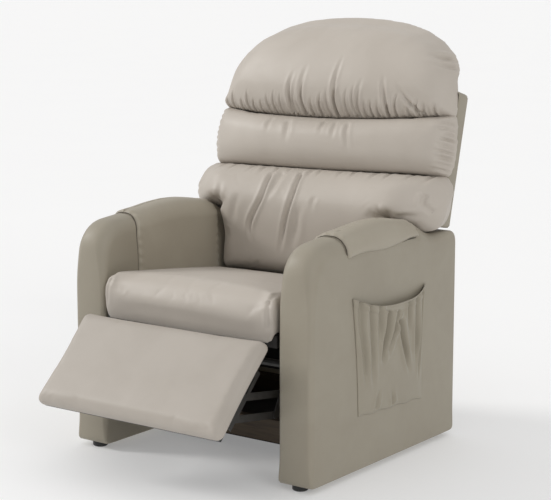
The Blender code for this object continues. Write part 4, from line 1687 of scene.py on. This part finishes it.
@dataclass
class ShadeCloth(Upholstery):
    """Black cloth under the base and over the inside of its rear panel: dark sheets that paint the shade
    inside the base.
    """

    half: float = 0.2740
    front: float = -0.122
    rear: float = 0.302
    low: float = 0.0372
    thick: float = 0.0008

    def cloth(self, name: str, corner: Array, across: Array, along: Array, out: Array, sag: float) -> Piece:
        """A thin sheet spanned by two edges from a corner, sagging by sag·16·u(1 − u)·v(1 − v) along out.

        Args:
            name: the piece's name.
            corner: where the sheet starts.
            across: its first edge.
            along: its second edge.
            out: a unit vector square to it.
            sag: how far its middle sags.

        Returns:
            The object.
        """
        u, v = unit_grid(40, 30)
        drop = sag * 16 * u * (1 - u) * v * (1 - v) + 0.0006 * np.sin(u * 40) * np.sin(v * 21) * sag / 0.004
        top = corner + u[..., None] * across + v[..., None] * along + drop[..., None] * out
        return sheet_shell(name, top, top + out * self.thick)

    def build(self) -> None:
        """Makes both cloths and hands them over."""
        wide = 2 * self.half
        # Both sheets are black to paint the shade inside the base.
        corner = np.array([-self.half, self.front + self.shift, self.low])
        run = self.rear - 0.0199 - self.front
        under = self.cloth("base_shade_cloth", corner, np.array([wide, 0, 0]), np.array([0, run, 0]),
                           np.array([0, 0, -1.0]), 0.004)
        self.hand_over(under, "base", self.finishes.cambric, "foam")
        corner = np.array([-self.half, self.rear + self.shift, 0.104])
        behind = self.cloth("rear_shade_cloth", corner, np.array([wide, 0, 0]), np.array([0, 0, 0.232]),
                            np.array([0, -1.0, 0]), 0.0015)
        self.hand_over(behind, "base", self.finishes.cambric, "foam")


@dataclass
class RearFlap(Upholstery):
    """The slack cloth from the seat's rear rail to the back's lower panel, and a skirt below that rail.
    """

    half: float = 0.2130
    slack: float = 0.150
    sag: float = 0.0285
    thick: float = 0.0008
    skirt_half: float = 0.2520
    skirt_drop: float = 0.100
    skirt_cut: float = 0.515

    def skirt(self) -> None:
        """Hangs the skirt behind the rail, with a gently waving hem."""
        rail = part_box("seat_rear_rail")
        u, v = unit_grid(60, 24)
        x = self.skirt_half * (2 * u - 1)
        y = rail[1][1] + 0.0008 + 0.003 * v * (1 + np.sin(u * 34 + v))
        z = rail[1][2] - 0.012 - self.skirt_drop * v
        near = np.stack([x, y, z], -1)
        cloth = self.hand_over(sheet_shell("seat_skirt", near, near + (0, self.thick, 0)), "seat",
                               self.finishes.cambric, "foam")

    def build(self) -> None:
        """Hangs the flap between its two edges."""
        self.skirt()
        rail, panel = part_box("seat_rear_rail"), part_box("back_panel_lower")
        start = np.array([-self.half, rail[1][1] + 0.0012, rail[1][2] - 0.0030])
        end = np.array([-self.half, panel[0][1] - 0.0030, panel[0][2] + 0.0060])
        u, v = unit_grid(48, 40)
        drop = 4 * self.sag * v * (1 - v) + 0.0012 * np.sin(u * 31 + 2 * v) * bell(v, 0.5, 0.22)
        top = start + v[..., None] * (end - start)
        top = top + u[..., None] * (2 * self.half, 0, 0) - drop[..., None] * (0, 0, 1)
        flap = sheet_shell("rear_flap", top, top - (0, 0, self.thick))
        dress(flap, self.finishes.cambric)
        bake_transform(flap)
        LOG.info("rear_flap bends between seat and back")


@dataclass
class ArmTimber(Upholstery):
    """The boards and front posts inside the arms, sawn off at the top front corner under the leather."""

    front: float = -0.3217
    rear: float = 0.3217
    foot: float = 0.015
    top: float = 0.5397
    post_deep: float = 0.030
    board: tuple[float, float] = (0.2873, 0.3023)
    post: tuple[float, float] = (0.3026, 0.3600)

    def plank(self, name: str, span: tuple[float, float], side: Sequence[tuple[float, float]]) -> Piece:
        """A side outline of (y, z) drawn out between two widths.

        Args:
            name: the piece's name.
            span: its two x planes.
            side: the corners of its side.

        Returns:
            The object.
        """
        loop = np.array(side) + (self.shift, 0)
        ends = [np.column_stack([np.full(len(loop), x), loop]) for x in span]
        piece = ringed(name, np.array(ends), ends[0].mean(0), ends[1].mean(0))
        piece.data.polygons.foreach_set("use_smooth", [False] * len(piece.data.polygons))
        return piece

    def build(self) -> None:
        """Makes a board and a post for each arm."""
        f, r, low, top = self.front, self.rear, self.foot, self.top
        cut = [(f, 0.478), (f + 0.010, 0.496), (f + 0.030, 0.514)]
        board = [(f, low), (r, low), (r, top - 0.010), (r - 0.012, top), (f + 0.075, top), *cut[::-1]]
        post = [(f, low), (f + self.post_deep, low), *cut[::-1]]
        for sign, side in ((1, "L"), (-1, "R")):
            for kind, span, outline, finish in (("side_board", self.board, board, self.finishes.wood),
                                                ("front_post", self.post, post, self.finishes.upright_wood)):
                piece = self.plank(f"arm_{kind}_sawn_{side}", tuple(sign * x for x in span), outline)
                self.hand_over(piece, "base", finish, "wood", [f"arm_{kind}_{side}"])


@dataclass
class Hardware:
    """The frame's own parts, which keep their shapes and get their finishes."""

    finishes: Wardrobe
    nodes: dict[str, Piece]

    def build(self) -> None:
        """Gives every remaining CAD node its finish by its kind of name."""
        f = self.finishes
        kinds = (
            (("arm_rear_post", "back_post"), f.upright_wood),
            (("cross_rail",), f.dark_wood),
            (("back_rail",), f.wood),
            (("glide", "release_bezel", "release_paddle", "footrest_board"), f.plastic),
            (("seat_spring",), f.zinc),
            (("seat_", "link", "_bar_", "bracket", "drive_tube"), f.steel),
            (("panel",), f.shell),
        )
        for name, node in sorted(self.nodes.items()):
            found = [finish for words, finish in kinds if any(word in name for word in words)]
            dress(node, found[0] if found else f.cushion)


@dataclass
class Studio:
    """The plain pale floor, the soft light and the camera."""

    shift: float
    eye: tuple[float, float, float] = (2.559, -3.470, 1.252)
    target: tuple[float, float, float] = (0.0265, 0.0, 0.5136)
    lens: float = 109.4
    floor_half: float = 140.0
    sky: tuple[float, float] = (0.47, 0.87)

    def camera(self) -> None:
        """A long lens from the front left, a little above the seat."""
        data = bpy.data.cameras.new("camera")
        data.sensor_width, data.lens = 36.0, self.lens
        data.clip_end = 400
        eye = bpy.data.objects.new("camera", data)
        place, target = (Vector((x, y + self.shift, z)) for x, y, z in (self.eye, self.target))
        eye.location = place
        eye.rotation_euler = (target - place).to_track_quat("-Z", "Y").to_euler()
        bpy.context.scene.collection.objects.link(eye)
        bpy.context.scene.camera = eye

    def sun(self, name: str, towards: tuple[float, float, float], strength: float, spread: float,
            tint: Colour) -> None:
        """One far, soft lamp that shines along a direction.

        Args:
            name: the lamp's name.
            towards: the direction in which it shines.
            strength: its strength in watts per square metre.
            spread: its apparent size in degrees.
            tint: its colour.
        """
        data = bpy.data.lights.new(name, "SUN")
        data.energy, data.angle, data.color = strength, math.radians(spread), tint
        lamp = bpy.data.objects.new(name, data)
        lamp.rotation_euler = Vector(towards).to_track_quat("-Z", "Y").to_euler()
        bpy.context.scene.collection.objects.link(lamp)

    def build(self) -> None:
        """Sets the camera, the floor, the sky's even light and the two lamps."""
        self.camera()
        h = self.floor_half
        square = np.array([(-h, -h, 0), (h, -h, 0), (h, h, 0), (-h, h, 0)])
        floor = solid("floor", square, [[0, 1, 2, 3]], False)
        dress(floor, Floor().material())
        world = bpy.data.worlds.new("studio_air")
        world.use_nodes = True
        nodes, links = world.node_tree.nodes, world.node_tree.links
        kinds = ("TexCoord", "SeparateXYZ", "MapRange")
        place, parts, level = (nodes.new(f"ShaderNode{kind}") for kind in kinds)
        links.new(place.outputs["Generated"], parts.inputs[0])
        links.new(parts.outputs["Z"], level.inputs["Value"])
        level.inputs["To Min"].default_value, level.inputs["To Max"].default_value = self.sky
        links.new(level.outputs["Result"], nodes["Background"].inputs["Strength"])
        nodes["Background"].inputs["Color"].default_value = (1.0, 1.0, 1.0, 1.0)
        bpy.context.scene.world = world
        bpy.context.scene.view_settings.view_transform = "Standard"
        self.sun("key_lamp", (0.84, 0.34, -0.50), 1.35, 14, (1.0, 0.99, 0.975))
        self.sun("side_lamp", (-0.82, 0.38, -0.42), 0.48, 18, (1.0, 0.99, 0.97))


def main() -> None:
    """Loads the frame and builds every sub-assembly in order."""
    logging.basicConfig(level=logging.INFO, format="%(message)s", stream=sys.stdout)
    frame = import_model()
    low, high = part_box("glide_front_L")
    shift = (low[1] + high[1]) / 2 + 0.303
    finishes = Wardrobe()
    Hardware(finishes, frame["nodes"]).build()
    Studio(shift).build()
    Arms(finishes, shift).build()
    Seat(finishes, shift).build()
    Footrest(finishes, shift).build()
    Back(finishes, shift).build()
    ShadeCloth(finishes, shift).build()
    RearFlap(finishes, shift).build()
    ArmTimber(finishes, shift).build()
    bpy.context.view_layer.update()
    LOG.info("all pieces are in place")


if __name__ == "__main__":
    main()
